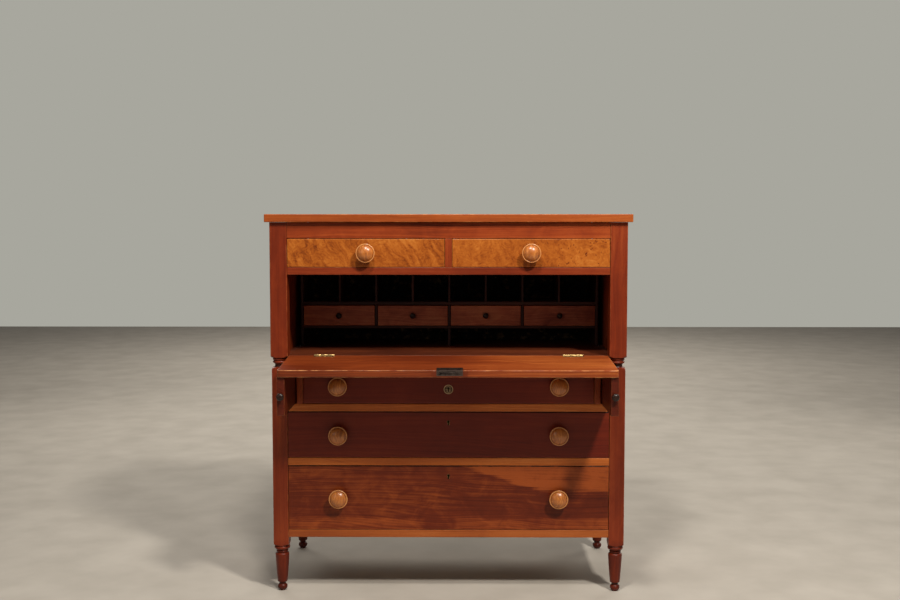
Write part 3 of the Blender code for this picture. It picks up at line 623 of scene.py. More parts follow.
def foot_profile():
    """(radius, height, grime and painted shade) in mm down the turned foot: ring, bead, shoulder, taper, neck and
    ball.
    """
    points = [(34.0, 158.0, 0.0)] + [(r, z, 0.0) for r, z in arc(26.0, 158.0, 8.0, -20, -80, 5)]
    points += [(24.6, 149.0, 0.5), (24.4, 147.6, 0.9)]
    points += [(r, z, 0.0) for r, z in arc(18.4, 140.6, 6.4, 80, -80, 12)]
    points += [(18.6, 133.2, 1.0), (17.2, 131.8, 1.0)]
    points += [(r, z, 0.15) for r, z in arc(15.6, 128.4, 3.2, 70, -70, 7)]
    points += [(16.2, 124.6, 1.0), (17.6, 123.4, 1.0)]
    points += [(r, z, 0.0) for r, z in arc(15.4, 116.8, 6.8, 75, -5, 8)]
    points += [(22.0 - 6.2 * t ** 1.15, 114.0 - 84.0 * t, 0.0) for t in (0.15, 0.3, 0.45, 0.6, 0.75, 0.9, 1.0)]
    points += [(15.0, 28.4, 0.4), (12.4, 26.9, 1.0), (10.6, 25.2, 1.0), (10.4, 23.4, 1.0)]
    points += [(r, z, 0.45) for r, z in arc(5.0, 11.8, 10.6, 62, -58, 14)]
    return points + [(9.6, 0.6, 0.6), (9.2, 0.0, 0.6)]


def ring_profile(top):
    """Two rings, a cove and a rounded shoulder between the stile and the lower square."""
    points = [(38.5, top + 5.0, 0.0)] + [(r, top + z, 0.2) for r, z in arc(28.0, 6.5, 6.5, -25, -80, 5)]
    points += [(22.6, top - 0.6, 1.0)]
    for centre in (-5.4, -14.4):
        points += [(r, top + z, 0.0) for r, z in arc(19.6, centre, 4.3, 78, -78, 10)]
        points += [(19.4, top + centre - 4.6, 1.0)]
    points += [(18.4, top - 20.6, 0.9), (17.2, top - 22.8, 1.0), (16.8, top - 25.4, 1.0), (17.4, top - 28.0, 1.0),
               (19.0, top - 30.2, 0.7)]
    points += [(r, top + z, 0.0) for r, z in arc(22.5, -44.0, 12.6, 100, 12, 12)]
    return points


def square_radius(angle, half, corner):
    """Distance from the axis to a square's side, with rounded corners."""
    c, s = abs(math.cos(angle)), abs(math.sin(angle))
    c, s = max(c, s), min(c, s)
    reach = half / c
    flat = half - corner
    if reach * s <= flat:
        return reach
    along = flat * (c + s)
    return along + math.sqrt(max(0.0, along * along - 2 * flat * flat + corner * corner))


def post_angles():
    places = [360.0 * index / 72 for index in range(72)]
    for quarter in range(4):
        middle = 45.0 + 90.0 * quarter
        places += [middle + offset for offset in (-3.2, -2.2, -1.1, 1.1, 2.2, 3.2)]
    return [math.radians(place) for place in sorted(places)]


def post_mesh(name, centre, top, ringed, seed):
    """A square stick with its arrises eased, cut back wherever the turning is smaller."""
    upper_half = STILE_HALF if ringed else POST_HALF
    upper_end = RINGS_TOP + 8 * MM if ringed else RINGS_TOP
    lower_top = RINGS_TOP - RINGS_HEIGHT - (12 * MM if ringed else 0.0)
    above_foot = FOOT_HEIGHT + 10 * MM
    levels = [(top + (upper_end - top) * index / 11, None, 0.0, upper_half) for index in range(12)]
    if ringed:
        levels += [(z * MM, r * MM, g, STILE_HALF if z * MM > RINGS_TOP - RINGS_HEIGHT / 2 else POST_HALF)
                   for r, z, g in ring_profile(RINGS_TOP / MM)]
    levels += [(lower_top + (above_foot - lower_top) * index / 16, None, 0.0, POST_HALF) for index in range(17)]
    levels += [(z * MM, r * MM, g, POST_HALF) for r, z, g in foot_profile()]
    shape = bmesh.new()
    wear_layer, grime_and_shade_layer = [shape.verts.layers.float.new(layer) for layer in ("wear", "grime_and_shade")]
    rings = []
    for height, turned_radius, grime_and_shade, half in levels:
        ring = []
        for angle in post_angles():
            reach = square_radius(angle, half, ARRIS)
            turned_here = turned_radius is not None and turned_radius < reach
            radius = turned_radius if turned_here else reach
            spot = Vector((math.cos(angle), math.sin(angle), height * 9.0)) + Vector((seed, seed, seed))
            radius -= 0.15 * MM * (0.5 + 0.5 * noise.noise(spot))
            off_corner = (math.degrees(angle) + 45.0) % 90.0
            on_arris = min(off_corner, 90.0 - off_corner) < 2.6 and not turned_here
            if on_arris:
                radius -= 0.5 * MM * max(0.0, noise.noise(Vector((height * 60.0, angle * 3.0, seed))))
            vert = shape.verts.new((centre.x + radius * math.cos(angle), centre.y + radius * math.sin(angle),
                                    height))
            vert[wear_layer] = 0.8 if on_arris else 0.0
            vert[grime_and_shade_layer] = grime_and_shade if turned_here else 0.0
            ring.append(vert)
        rings.append(ring)
    skin(shape, rings)
    shape.faces.new(rings[0])
    shape.faces.new(list(reversed(rings[-1])))
    bmesh.ops.recalc_face_normals(shape, faces=shape.faces)
    return smooth(mesh_of(shape, name), 38.0)


def make_posts():
    for number, (end, side) in enumerate((e, s) for e in ("front", "back") for s in ("left", "right")):
        node = f"post_{end}_{side}"
        low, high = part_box(node)
        material = wood("cherry_" + node, Z, 40 + number, DEEP_TONES, zones=post_zones)
        mesh = post_mesh(node + "_turned", (low + high) / 2, high.z, end == "front", number * 3.7)
        add_piece(node + "_turned", mesh, material, "carcass", [node])


# Boards of the case ----------------------------------------------------------------------------------

def show_board(node, material, slot="cherry", body="carcass", cutters=(), **shape):
    """Replace a plain CAD board by a worn one of the same limits."""
    low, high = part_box(node)
    mesh = board_mesh(node + "_board", low, high, seed=len(node) * 1.7, **shape)
    if cutters:
        mesh = carve(mesh, cutters)
    return add_piece(node + "_board", mesh, material, body, [node])


def make_case():
    """The boards that show, each with wood of its own."""
    top_tones = (srgb(120, 50, 16), srgb(154, 74, 28), srgb(182, 98, 42))
    show_board("top_board", wood("cherry_top", X, 3, top_tones, patches=0.4, wear_share=0.6), radius=2.2 * MM)
    for number, side in enumerate(SIDES):
        show_board("side_panel_" + side, wood("cherry_side_" + side, Z, 8 + number, CHERRY_TONES, rings=0.55))
        show_board("loper_divider_" + side, wood("cherry_divider_" + side, Z, 18 + number, CHERRY_TONES))
    show_board("top_rail", wood("cherry_top_rail", X, 21, CHERRY_TONES, figure=0.3), radius=1.0 * MM)
    show_board("upper_muntin", wood("cherry_muntin", Z, 23, CHERRY_TONES), radius=1.0 * MM)
    low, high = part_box("fall_lock_bolt")
    rail_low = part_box("upper_drawer_rail")[0]
    strike = box_mesh((low.x - 1.5 * MM, CASE_FRONT + 10.7 * MM, rail_low.z - MM),
                      (high.x + 1.5 * MM, CASE_FRONT + 18.3 * MM, rail_low.z + 8 * MM))
    show_board("upper_drawer_rail", wood("cherry_upper_rail", X, 25, DEEP_TONES, figure=0.2), cutters=[strike])
    light = (srgb(150, 70, 26), srgb(186, 98, 40), srgb(214, 128, 62))
    duller = (srgb(132, 60, 24), srgb(162, 84, 36), srgb(188, 108, 52))
    rails = {"desk_rail": CHERRY_TONES, "lower_rail_1": light, "lower_rail_2": light, "bottom_rail": duller}
    for number, (node, tones) in enumerate(rails.items()):
        show_board(node, wood("cherry_" + node, X, 30 + number, tones), radius=1.0 * MM)


def make_back():
    """Rough backboards of odd widths, meeting behind the case's shelves and nailed to the back posts."""
    low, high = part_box("back_panel")
    gap = 0.4 * MM
    nail = board_mesh("nail", (-2.6 * MM, -1.0 * MM, -2.2 * MM), (2.6 * MM, 0.5 * MM, 2.2 * MM),
                      radius=0.5 * MM, step=3 * MM, chips=0.2 * MM)
    shelves = ("dust_board_2", "dust_board_1", "writing_board", "pigeonhole_rack", "dust_board_upper")
    levels = [low.z] + [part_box(shelf)[0].z + 5.5 * MM for shelf in shelves] + [high.z]
    for index, (z_low, z_high) in enumerate(zip(levels, levels[1:])):
        name = f"backboard_{index + 1}"
        z_low += gap if index else 0.0
        z_high -= gap if z_high < high.z else 0.0
        mesh = board_mesh(name, (low.x, low.y, z_low), (high.x, high.y, z_high), radius=1.2 * MM,
                          wave=0.25 * MM, chips=0.2 * MM, seed=index)
        # Inside the writing compartment the boards' inner faces are painted dark: painted shade, as the compartment
        # lies in shadow
        in_painted_shade = z_low > DESK_LEVEL - 30 * MM
        mark(mesh, "grime_and_shade", [1.6 if in_painted_shade and vert.co.y < low.y + 2 * MM else 0.0 for vert in mesh.vertices])
        add_piece(name, mesh, poplar("poplar_" + name, X, 60 + index, 0.66, 0.5), "carcass",
                  [] if index else ["back_panel"])
        for number, (side, share) in enumerate(((-1, 0.25), (-1, 0.75), (1, 0.25), (1, 0.75)), 4 * index + 1):
            place = (side * (high.x - 12 * MM), high.y, z_low + (z_high - z_low) * share)
            add_copy(f"backboard_nail_{number}", nail, Matrix.Translation(place), IRON, "carcass")


def dress_inside():
    """Boards that show only when a drawer is out keep their CAD shape, with eased edges."""
    plain = poplar("poplar_inside", X, 71, 0.6, 0.2)
    for node in ("dust_board_upper", "dust_board_1", "dust_board_2", "bottom_frame"):
        board = frame["nodes"][node]
        board.data.materials.clear()
        board.data.materials.append(plain)
        bevel = board.modifiers.new("ease", "BEVEL")
        bevel.width = 0.6 * MM
        bevel.segments = 2
        bevel.limit_method = "ANGLE"
        bevel.harden_normals = True


# Writing surface and gallery -------------------------------------------------------------------------

def make_writing_board():
    """The writing surface, cut round the posts and for the fixed hinge leaves and their knuckles."""
    low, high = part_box("writing_board")
    past = 5 * MM
    post_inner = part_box("post_front_right")[0].x - FIT
    post_back = CASE_FRONT + 2 * STILE_HALF + FIT
    back_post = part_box("post_back_left")[0].y - FIT
    cutters = []
    for name, side in zip(SIDES, (-1, 1)):
        edges = sorted((side * post_inner, side * (high.x + past)))
        for near, far in ((low.y - past, post_back), (back_post, high.y + past)):
            cutters.append(box_mesh((edges[0], near, low.z - MM), (edges[1], far, high.z + MM)))
        leaf_low, leaf_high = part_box(f"hinge_{name}_board_leaf")
        cutters.append(box_mesh((leaf_low.x - FIT, low.y - past, high.z - LEAF_THICK - FIT),
                                (leaf_high.x + FIT, leaf_high.y + FIT, high.z + MM)))
        centre = ((leaf_low.x + leaf_high.x) / 2, HINGE_PLACE.y, DESK_LEVEL)
        cutters.append(rod_mesh(KNUCKLE_SEAT, leaf_high.x - leaf_low.x + FIT, centre, X))
    tones = (srgb(48, 20, 11), srgb(86, 38, 20), srgb(118, 58, 30))
    board = wood("writing_board_cherry", X, 80, tones, rings=0.35, figure=0.3, roughness=0.42,
                 worn=srgb(176, 104, 58))
    mesh = carve(board_mesh("writing_board_top", low, high, radius=1.6 * MM, seed=4.2), cutters)
    add_piece("writing_board_top", mesh, board, "carcass", ["writing_board"])


def make_gallery():
    """Gallery boards as separate pieces, their front edges rounded by use."""
    # Painted shade: the gallery's boards take tones darkened for the compartment's shadow
    upright, level = [wood(name, axis, seed, SHADE_DARKENED_TONES, rings=0.3, figure=0.3, roughness=0.5, coat=0.1, worn=worn)
                      for name, axis, seed, worn in (("gallery_cherry", Z, 90, srgb(96, 52, 32)),
                                                     ("gallery_shelf_cherry", X, 92, srgb(104, 56, 34)))]
    for side in SIDES:
        show_board("gallery_end_" + side, upright, slot="dark_cherry", radius=1.5 * MM)
    low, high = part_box("gallery_drawer_case")
    rack_low, rack_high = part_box("pigeonhole_rack")
    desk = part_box("gallery_end_left")[0].z
    board_low, board_high = GALLERY_BOARD_LEVELS
    shelf_top = rack_low.z + 11 * MM
    width = high.x - low.x + 0.6 * MM
    divider_half, rack_divider_half = 4.5 * MM, 3.5 * MM

    def gallery_board(name, x, z, material, replaces=()):
        mesh = board_mesh(name, (x[0], low.y, z[0]), (x[1], high.y, z[1]), radius=1.4 * MM, seed=len(name) + x[0])
        add_piece(name, mesh, material, "carcass", replaces)

    def divider(name, share, half, z):
        x = width * (share - 0.5)
        gallery_board(name, (x - half, x + half), z, upright)

    gallery_board("gallery_drawer_board", (low.x, high.x), (board_low, board_high), level,
                  ["gallery_drawer_case"])
    divider("letter_space_divider", 0.5, divider_half, (desk, board_low))
    for number in range(1, 4):
        divider(f"gallery_drawer_divider_{number}", number / 4, divider_half, (board_high, high.z))
    gallery_board("pigeonhole_shelf", (low.x, high.x), (rack_low.z, shelf_top), level, ["pigeonhole_rack"])
    for number in range(1, 8):
        divider(f"pigeonhole_divider_{number}", number / 8, rack_divider_half, (shelf_top, rack_high.z))


def small_knob_outline(radius, length):
    """A little mushroom knob with a bead at its base."""
    dome = [(math.sin(math.radians(turn)), 0.62 + 0.38 * math.cos(math.radians(turn)), 0.5, 0.0)
            for turn in range(15, 91, 15)]
    points = [(0.0, 1.0, 0.6, 0.0)] + dome + [(0.94, 0.54, 0.2, 0.0), (0.7, 0.44, 0.0, 0.4), (0.46, 0.34, 0.0, 0.9),
                                              (0.44, 0.2, 0.0, 0.9), (0.62, 0.12, 0.2, 0.3), (0.68, 0.05, 0.0, 0.5)]
    points = [(radius * across, length * along, wear, grime_and_shade) for across, along, wear, grime_and_shade in points]
    return points + [(radius * 0.6, 0.2 * MM, 0.0, 1.0), (0.0, 0.2 * MM, 0.0, 1.0)]


def make_gallery_drawers():
    knob = lathe_mesh("gallery_knob", small_knob_outline(10 * MM, 15 * MM), steps=32)
    tones = (srgb(122, 56, 36), srgb(172, 94, 62), srgb(202, 124, 82))
    for number in range(1, 5):
        node = f"gallery_drawer_{number}"
        low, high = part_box(node)
        front = low.y + 15 * MM
        face_back = front + 9 * MM
        wood_here = wood("cherry_" + node, X, 100 + number, tones, figure=0.5, roughness=0.42, coat=0.15)
        face = board_mesh(node + "_front", (low.x, front, low.z), (high.x, face_back, high.z), radius=0.8 * MM,
                          step=20 * MM, seed=number)
        add_piece(node + "_front", face, wood_here, node, [node])
        centre = ((low.x + high.x) / 2, front, (low.z + high.z) / 2)
        add_copy(node + "_turned_knob", knob, facing_front(centre), EBONY, node)
        make_box(node, (low.x, high.x), (face_back, high.y), (low.z, high.z), wall=5 * MM, bottom=4 * MM)


# Case drawers ----------------------------------------------------------------------------------------

def tail_outline(z, front, root, tails, y_back):
    """A drawer side seen from the side: dovetails at its front, plain behind."""
    low, high = z
    outline = [(y_back, low), (root, low)]
    slope = math.tan(math.radians(9.0)) * (root - front)
    for index in range(tails):
        pitch = (high - low) / tails
        middle = low + pitch * (index + 0.5)
        wide = pitch * 0.36
        outline += [(root, middle - wide + slope), (front, middle - wide), (front, middle + wide),
                    (root, middle + wide - slope)]
    return outline + [(root, high), (y_back, high)]


def make_box(node, x, y, z, wall, bottom, lap=0.0, tails=0, drop=0.0):
    """Sides with dovetails into the front, a back between them and a thin bottom between the sides near their lower
    edge.
    """
    front, back = y
    groove = z[0] + 2.5 * MM
    inset = wall + 0.1 * MM
    for side, near in zip(SIDES, (x[0], x[1] - wall)):
        outline = tail_outline(z, front - lap, front, tails, back)
        name = f"{node}_side_{side}"
        mesh = eased(prism_mesh(name, outline, near, near + wall, X), 0.35 * MM, 1)
        add_piece(name, mesh, BOX_WOODS["side"], node)
    boards = {"back": ((back - wall, z[0] + bottom + 3 * MM), (back - 0.2 * MM, z[1] - drop), 60 * MM, 0.12 * MM),
              "bottom": ((front + 0.2 * MM, groove), (back - 0.4 * MM, groove + bottom), 90 * MM, 0.3 * MM)}
    for part, (low, high, step, wave) in boards.items():
        mesh = board_mesh(f"{node}_{part}", (x[0] + inset, *low), (x[1] - inset, *high), radius=0.5 * MM,
                          step=step, wave=wave)
        add_piece(f"{node}_{part}", mesh, BOX_WOODS[part], node)


def knob_outline():
    """A large mushroom knob: low dome, groove and bead at the rim, cove, neck and flared foot."""
    rim_turn = math.radians(52)
    points = []
    for turn in range(0, 53, 4):
        t = math.radians(turn)
        radius = 25.0 * math.sin(t) / math.sin(rim_turn)
        height = 26.6 + 11.2 * (math.cos(t) - math.cos(rim_turn)) / (1 - math.cos(rim_turn))
        points.append((radius, height, 0.25 if 4 < radius < 23 else 0.1, 0.0))
    points += [(25.6, 25.7, 0.0, 0.9), (26.2, 25.6, 0.0, 0.9)]
    points += [(r, z, 0.9, 0.0) for r, z in arc(27.6, 23.9, 2.3, 115, -60, 10)]
    points += [(27.4, 21.2, 0.1, 0.0), (24.0, 19.6, 0.0, 0.1), (19.5, 17.6, 0.0, 0.3), (15.4, 14.4, 0.0, 0.6),
               (12.7, 10.8, 0.0, 0.7), (12.0, 7.6, 0.0, 0.7), (12.6, 4.8, 0.0, 0.6), (14.6, 2.6, 0.2, 0.3),
               (16.4, 1.5, 0.3, 0.3), (16.9, 0.4, 0.0, 0.9), (7.0, 0.4, 0.0, 1.0), (7.0, -18.0, 0.0, 0.0),
               (0.0, -18.0, 0.0, 0.0)]
    return in_mm(points)


def keyhole_outline(radius, slot, height, grow=0.0):
    """A keyhole's outline about its round centre: (across, up) points."""
    radius, half = radius + grow, slot / 2 + grow
    start = math.degrees(math.asin(half / radius)) - 90.0
    turns = [math.radians(start + (360.0 - 2 * (start + 90.0)) * index / 20) for index in range(21)]
    outline = [(radius * math.cos(t), radius * math.sin(t)) for t in turns]
    foot = -(height - radius + grow)
    outline += [(-half, foot + half * 0.7), (-half * 0.6, foot), (half * 0.6, foot), (half, foot + half * 0.7)]
    return outline


def keyhole_cutter(x, y, z, depth, grow=0.0):
    outline = [(x + a, z + b) for a, b in keyhole_outline(*KEYHOLE, grow=grow)]
    return prism_mesh("keyhole", outline, y - depth / 2, y + depth / 2, Y)


def make_drawer(node, material, tails, seed, keyhole=None, plate=None):
    """A front with its dovetail sockets and keyhole, the box behind it and the turned knobs."""
    low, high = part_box(node + "_front")
    box_low, box_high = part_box(node + "_box")
    root = high.y + FIT
    through = 3 * (high.y - low.y)
    lap_front = high.y - LAP - 0.15 * MM
    knobs = sorted(name for name in frame["nodes"] if name.startswith(node + "_knob"))
    cutters = []
    for near, far in ((box_low.x - 5 * MM, box_low.x), (box_high.x, box_high.x + 5 * MM)):
        cutters.append(box_mesh((near, lap_front, low.z - MM), (far, high.y + MM, high.z + MM)))
    socket = DRAWER_WALL + 0.2 * MM
    for near, far in ((box_low.x - MM, box_low.x + socket), (box_high.x - socket, box_high.x + MM)):
        outline = tail_outline((box_low.z, box_high.z), lap_front, root, tails, root + 5 * MM)
        cutters.append(prism_mesh("sockets", outline, near, far, X))
    for knob in knobs:
        centre = middle_of(knob)
        cutters.append(rod_mesh(KNOB_HOLE, through, (centre.x, high.y, centre.z), Y))
    if plate:
        centre = middle_of(plate)
        depth = 2 * (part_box(plate)[1].y + 0.2 * MM - low.y)
        cutters.append(rod_mesh(PLATE_SEAT, depth, (centre.x, low.y, centre.z), Y, 64))
        keyhole = centre.z + KEYHOLE[0]
    if keyhole is not None:
        cutters.append(keyhole_cutter(0.0, low.y, keyhole, through, grow=1.3 * MM))
    mesh = board_mesh(node + "_face", low, high, radius=1.2 * MM, step=32 * MM, seed=seed)
    # Painted shadow: a dark line along the top edge, where the rail above shades the gap
    mark(mesh, "grime_and_shade", [1.2 if vert.co.z > high.z - 1.25 * MM else 0.0 for vert in mesh.vertices])
    add_piece(node + "_face", carve(mesh, cutters), material, node, [node + "_front"])
    make_box(node, (box_low.x, box_high.x), (root, box_high.y), (box_low.z, box_high.z), DRAWER_WALL, 7 * MM,
             lap=LAP, tails=tails, drop=1.5 * MM)
    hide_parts(node + "_box")
    knob_mesh = lathe_mesh("knob", knob_outline(), steps=64)
    for number, knob in enumerate(knobs):
        centre = middle_of(knob)
        maple = knob_maple("knob_maple_" + knob, 120 + round(seed * 10) + number)
        add_copy(knob + "_turned", knob_mesh, facing_front((centre.x, low.y, centre.z), seed * 1.9 + number * 0.7),
                 maple, node, [knob])


def make_drawers():
    make_drawer("upper_drawer_left", burl_maple("burl_left", 131, 0.7, 0.0), 2, 1.1)
    make_drawer("upper_drawer_right", burl_maple("burl_right", 132, 0.4, 1.0), 2, 2.3)
    # Painted shade: the top two long drawers, in the fall's shadow, take darker tones than the deep drawer
    red = (srgb(80, 20, 8), srgb(108, 32, 13), srgb(132, 48, 20))
    warm = (srgb(76, 22, 7), srgb(104, 37, 13), srgb(160, 76, 30))
    first = wood("cherry_drawer_1", X, 141, red, zones=drawer_1_zones)
    second = wood("cherry_drawer_2", X, 142, red, patches=0.3)
    third = wood("cherry_drawer_3", X, 143, warm, figure=0.35, patches=0.45, zones=drawer_3_zones)
    make_drawer("drawer_1", first, 3, 3.1, plate="drawer_1_escutcheon")
    for node, material, tails, seed in (("drawer_2", second, 3, 4.3), ("drawer_3", third, 4, 5.9)):
        low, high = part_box(node + "_front")
        level = high.z - 31 * MM
        make_drawer(node, material, tails, seed, keyhole=level)
        liner = carve(keyhole_cutter(0.0, low.y + 4.2 * MM, level, 8 * MM, grow=1.2 * MM),
                      [keyhole_cutter(0.0, low.y, level, 40 * MM)])
        add_piece(node + "_keyhole_liner", liner, BRASS, node)
    make_escutcheon()


def make_escutcheon():
    """The round keyhole plate of the top long drawer, with a thin raised rim."""
    centre = middle_of("drawer_1_escutcheon")
    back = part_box("drawer_1_escutcheon")[1].y
    outline = [(0.0, 1.5, 0.0, 0.85), (11.6, 1.5, 0.0, 0.85), (12.2, 1.3, 0.0, 1.2), (12.9, 1.9, 1.0, 0.0),
               (13.9, 2.0, 1.0, 0.0), (14.6, 1.7, 0.8, 0.0), (15.0, 0.9, 0.2, 0.4), (15.0, 0.0, 0.0, 1.0),
               (0.0, 0.0, 0.0, 1.0)]
    plate = lathe_mesh("escutcheon", in_mm(outline), steps=64)
    plate.transform(facing_front((centre.x, back, centre.z)))
    plate = carve(plate, [keyhole_cutter(centre.x, back, centre.z + KEYHOLE[0], 20 * MM)])
    add_piece("drawer_1_keyhole_plate", plate, RUBBED_BRASS, "drawer_1", ["drawer_1_escutcheon"])


# Fall, hinges and lock -------------------------------------------------------------------------------

def screw_mesh():
    """A countersunk head with its slot, lying in the xy plane with its face at z = 0."""
    outline = [(0.0, 0.0, 0.6, 0.0), (2.4, 0.0, 0.6, 0.0), (3.1, -0.12, 0.8, 0.0), (3.3, -0.4, 0.0, 1.0),
               (1.5, -1.7, 0.0, 1.0), (0.0, -1.7, 0.0, 1.0)]
    head = lathe_mesh("screw", in_mm(outline), steps=32)
    return carve(head, [box_mesh((-5 * MM, -0.35 * MM, -0.9 * MM), (5 * MM, 0.35 * MM, MM))])


def turned(where, angle):
    return Matrix.Translation(where) @ Matrix.Rotation(angle, 4, "Z")


def leaf_mesh(name, centre_x, side, outer):
    """A hinge leaf in the hinge line's frame: plate with rounded corners, and its knuckles."""
    near = KNUCKLE + 0.4 * MM
    ys = sorted((side * near, side * LEAF_REACH))
    plate = board_mesh(name, (centre_x - LEAF_HALF, ys[0], -LEAF_THICK), (centre_x + LEAF_HALF, ys[1], 0.0),
                       radius=0.45 * MM, step=8 * MM, chips=0.15 * MM, wave=0.15 * MM)
    middle, gap = 9.6 * MM, 0.4 * MM
    spans = [(-LEAF_HALF, -middle - gap), (middle + gap, LEAF_HALF)] if outer else [(-middle, middle)]
    tab = sorted((0.0, side * (near + MM)))
    parts = []
    for low, high in spans:
        parts.append(box_mesh((centre_x + low, tab[0], -LEAF_THICK), (centre_x + high, tab[1], -0.05 * MM)))
        parts.append(eased(rod_mesh(KNUCKLE, high - low, (centre_x + (low + high) / 2, 0, 0), X, 32), 0.4 * MM))
    if outer:
        parts.append(rod_mesh(1.3 * MM, 2 * LEAF_HALF - 2 * MM, (centre_x, 0, 0), X))
    mesh = carve(plate, parts, "UNION")
    holes = [rod_mesh(SCREW_HOLE, 4 * LEAF_THICK, (centre_x + at, side * LEAF_SCREW_LINE, 0.0), Z, 32)
             for at in LEAF_SCREWS]
    if not outer:
        holes.append(rod_mesh(1.45 * MM, 4 * LEAF_HALF, (centre_x, 0, 0), X))
    return carve(mesh, holes)


def make_hinges():
    screw = screw_mesh()
    for side in SIDES:
        centre_x = middle_of(f"hinge_{side}_board_leaf").x
        for leaf, body, matrix, direction in (("board", "carcass", Matrix.Translation(HINGE_PLACE), 1),
                                              ("fall", "fall", FALL_FRAME, -1)):
            node = f"hinge_{side}_{leaf}_leaf"
            mesh = leaf_mesh(node + "_brass", centre_x, direction, leaf == "board")
            mesh.transform(matrix)
            add_piece(node + "_brass", mesh, BRASS, body, [node])
            for number, at in enumerate(LEAF_SCREWS):
                where = (centre_x + at, direction * LEAF_SCREW_LINE, -SCREW_SUNK)
                add_copy(f"hinge_{side}_{leaf}_screw_{number + 1}", screw, matrix @ turned(where, 0.5 + number * 1.1),
                         BRASS, body)


def make_fall():
    """The fall front, built in its own frame: worn along every edge, with its hinge seats and mortise."""
    cutters = []
    for side in SIDES:
        centre_x = middle_of(f"hinge_{side}_board_leaf").x
        cutters.append(box_mesh((centre_x - LEAF_HALF - FIT, -LEAF_REACH - FIT, -LEAF_THICK - FIT),
                                (centre_x + LEAF_HALF + FIT, 3 * MM, 3 * MM)))
        cutters.append(rod_mesh(KNUCKLE_SEAT, 2 * LEAF_HALF + FIT, (centre_x, 0, 0), X))
    lock_x = middle_of("fall_lock").x
    for half, depth, down in (LOCK_PLATE, LOCK_CASE, LOCK_SELVEDGE):
        cutters.append(box_mesh((lock_x - half - FIT, -FALL_REACH - 3 * MM, -down - FIT),
                                (lock_x + half + FIT, -FALL_REACH + depth + FIT, 3 * MM)))
    key = keyhole_cutter(lock_x, 0.0, 0.0, 2 * FALL_THICK)
    key.transform(Matrix.Translation((0, -FALL_REACH + 18 * MM, -FALL_THICK))
                  @ Matrix.Rotation(-math.pi / 2, 4, "X"))
    cutters.append(key)
    tones = (srgb(104, 40, 15), srgb(142, 64, 26), srgb(180, 98, 44))
    cherry = wood("cherry_fall", X, 151, tones, rings=0.35, patches=0.6, coat=0.12, worn=srgb(232, 166, 104),
                  wear_share=1.0, zones=fall_zones)
    mesh = board_mesh("fall_front", (-FALL_HALF, -FALL_REACH, -FALL_THICK), (FALL_HALF, -1 * MM, 0.0),
                      radius=2.0 * MM, step=9 * MM, chips=1.1 * MM, wave=0.2 * MM, seed=6.6)
    round_plan_corners(mesh, FALL_HALF, -FALL_REACH, 9 * MM)
    # Its ends, where hands lift it, are the most worn; the light worn colour on its arrises is also a painted
    # highlight along the rounded edges, strongest at the right end
    mark(mesh, "wear", [layer.value and 0.35 + 0.65 * min(1.0, abs(vert.co.x + 0.1) / FALL_HALF)
                        for vert, layer in zip(mesh.vertices, mesh.attributes["wear"].data)])
    mesh = carve(mesh, cutters)
    mesh.transform(FALL_FRAME)
    add_piece("fall_front", mesh, cherry, "fall", ["fall_board"])


def make_lock():
    """The half-mortise lock: a plate on the face, a selvedge on the edge, and the bolt in its slot."""
    centre_x = middle_of("fall_lock").x

    def spot(across, inward, up):
        """A place from the middle of the lock's edge at the face."""
        return Vector((centre_x + across, -FALL_REACH + inward, up))

    half, depth, down = LOCK_PLATE
    plate = board_mesh("lock", spot(-half, 0.0, -down), spot(half, depth, 0.0), radius=0.5 * MM, step=9 * MM,
                       chips=0.2 * MM, wave=0.2 * MM)
    half, depth, down = LOCK_SELVEDGE
    selvedge = box_mesh(spot(0.1 * MM - half, 0.05 * MM, -down), spot(half - 0.1 * MM, depth, -0.3 * MM))
    half, depth, down = LOCK_CASE
    case = box_mesh(spot(-half, 0.2 * MM, -down), spot(half, depth, -MM))
    bolt_low, bolt_high = spot(-14 * MM, 0.0, -9.75 * MM), spot(14 * MM, 22 * MM, -5.25 * MM)
    play = Vector((FIT, FIT, FIT))
    cutters = [box_mesh(bolt_low - play, bolt_high + play)]
    face_line, edge_level = 36 * MM, -9 * MM
    screws = (-33 * MM, 33 * MM)
    cutters += [rod_mesh(SCREW_HOLE, 8 * MM, spot(at, face_line, 0.0), Z, 32) for at in screws]
    cutters += [rod_mesh(SCREW_HOLE, 8 * MM, spot(at, 0.0, edge_level), Y, 32) for at in screws]
    lock = carve(carve(plate, [selvedge, case], "UNION"), cutters)
    lock.transform(FALL_FRAME)
    add_piece("fall_lock_plate", lock, IRON, "fall", ["fall_lock"])
    bolt = board_mesh("lock_bolt", bolt_low, bolt_high, radius=0.5 * MM, step=6 * MM, chips=0.15 * MM)
    bolt.transform(FALL_FRAME)
    add_piece("fall_lock_bolt_iron", bolt, IRON, "fall_bolt", ["fall_lock_bolt"])
    screw = screw_mesh()
    for number, at in enumerate(screws):
        on_face = turned(spot(at, face_line, -SCREW_SUNK), 0.3 + number)
        on_edge = facing_front(spot(at, SCREW_SUNK, edge_level), 0.9 + number)
        for where, matrix in (("face", on_face), ("edge", on_edge)):
            add_copy(f"lock_{where}_screw_{number + 1}", screw, FALL_FRAME @ matrix, IRON, "fall")


def make_lopers():
    knob = lathe_mesh("loper_knob", small_knob_outline(11.5 * MM, 19 * MM), steps=36)
    # Painted shade: the lopers take darkened tones for the shade under the fall
    tones = (srgb(60, 18, 9), srgb(88, 30, 14), srgb(112, 46, 22))
    for number, side in enumerate(SIDES):
        node = f"loper_{side}"
        low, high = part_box(node)
        centre = ((low.x + high.x) / 2, low.y, (low.z + high.z) / 2)
        show_board(node, wood("cherry_" + node, Y, 160 + number, tones), body=node, radius=1.2 * MM,
                   cutters=[rod_mesh(3.3 * MM, 30 * MM, centre, Y)])
        add_copy(f"loper_knob_{side}_turned", knob, facing_front(centre), EBONY, node,
                 [f"loper_knob_{side}"])


# Room ------------------------------------------------------------------------------------------------

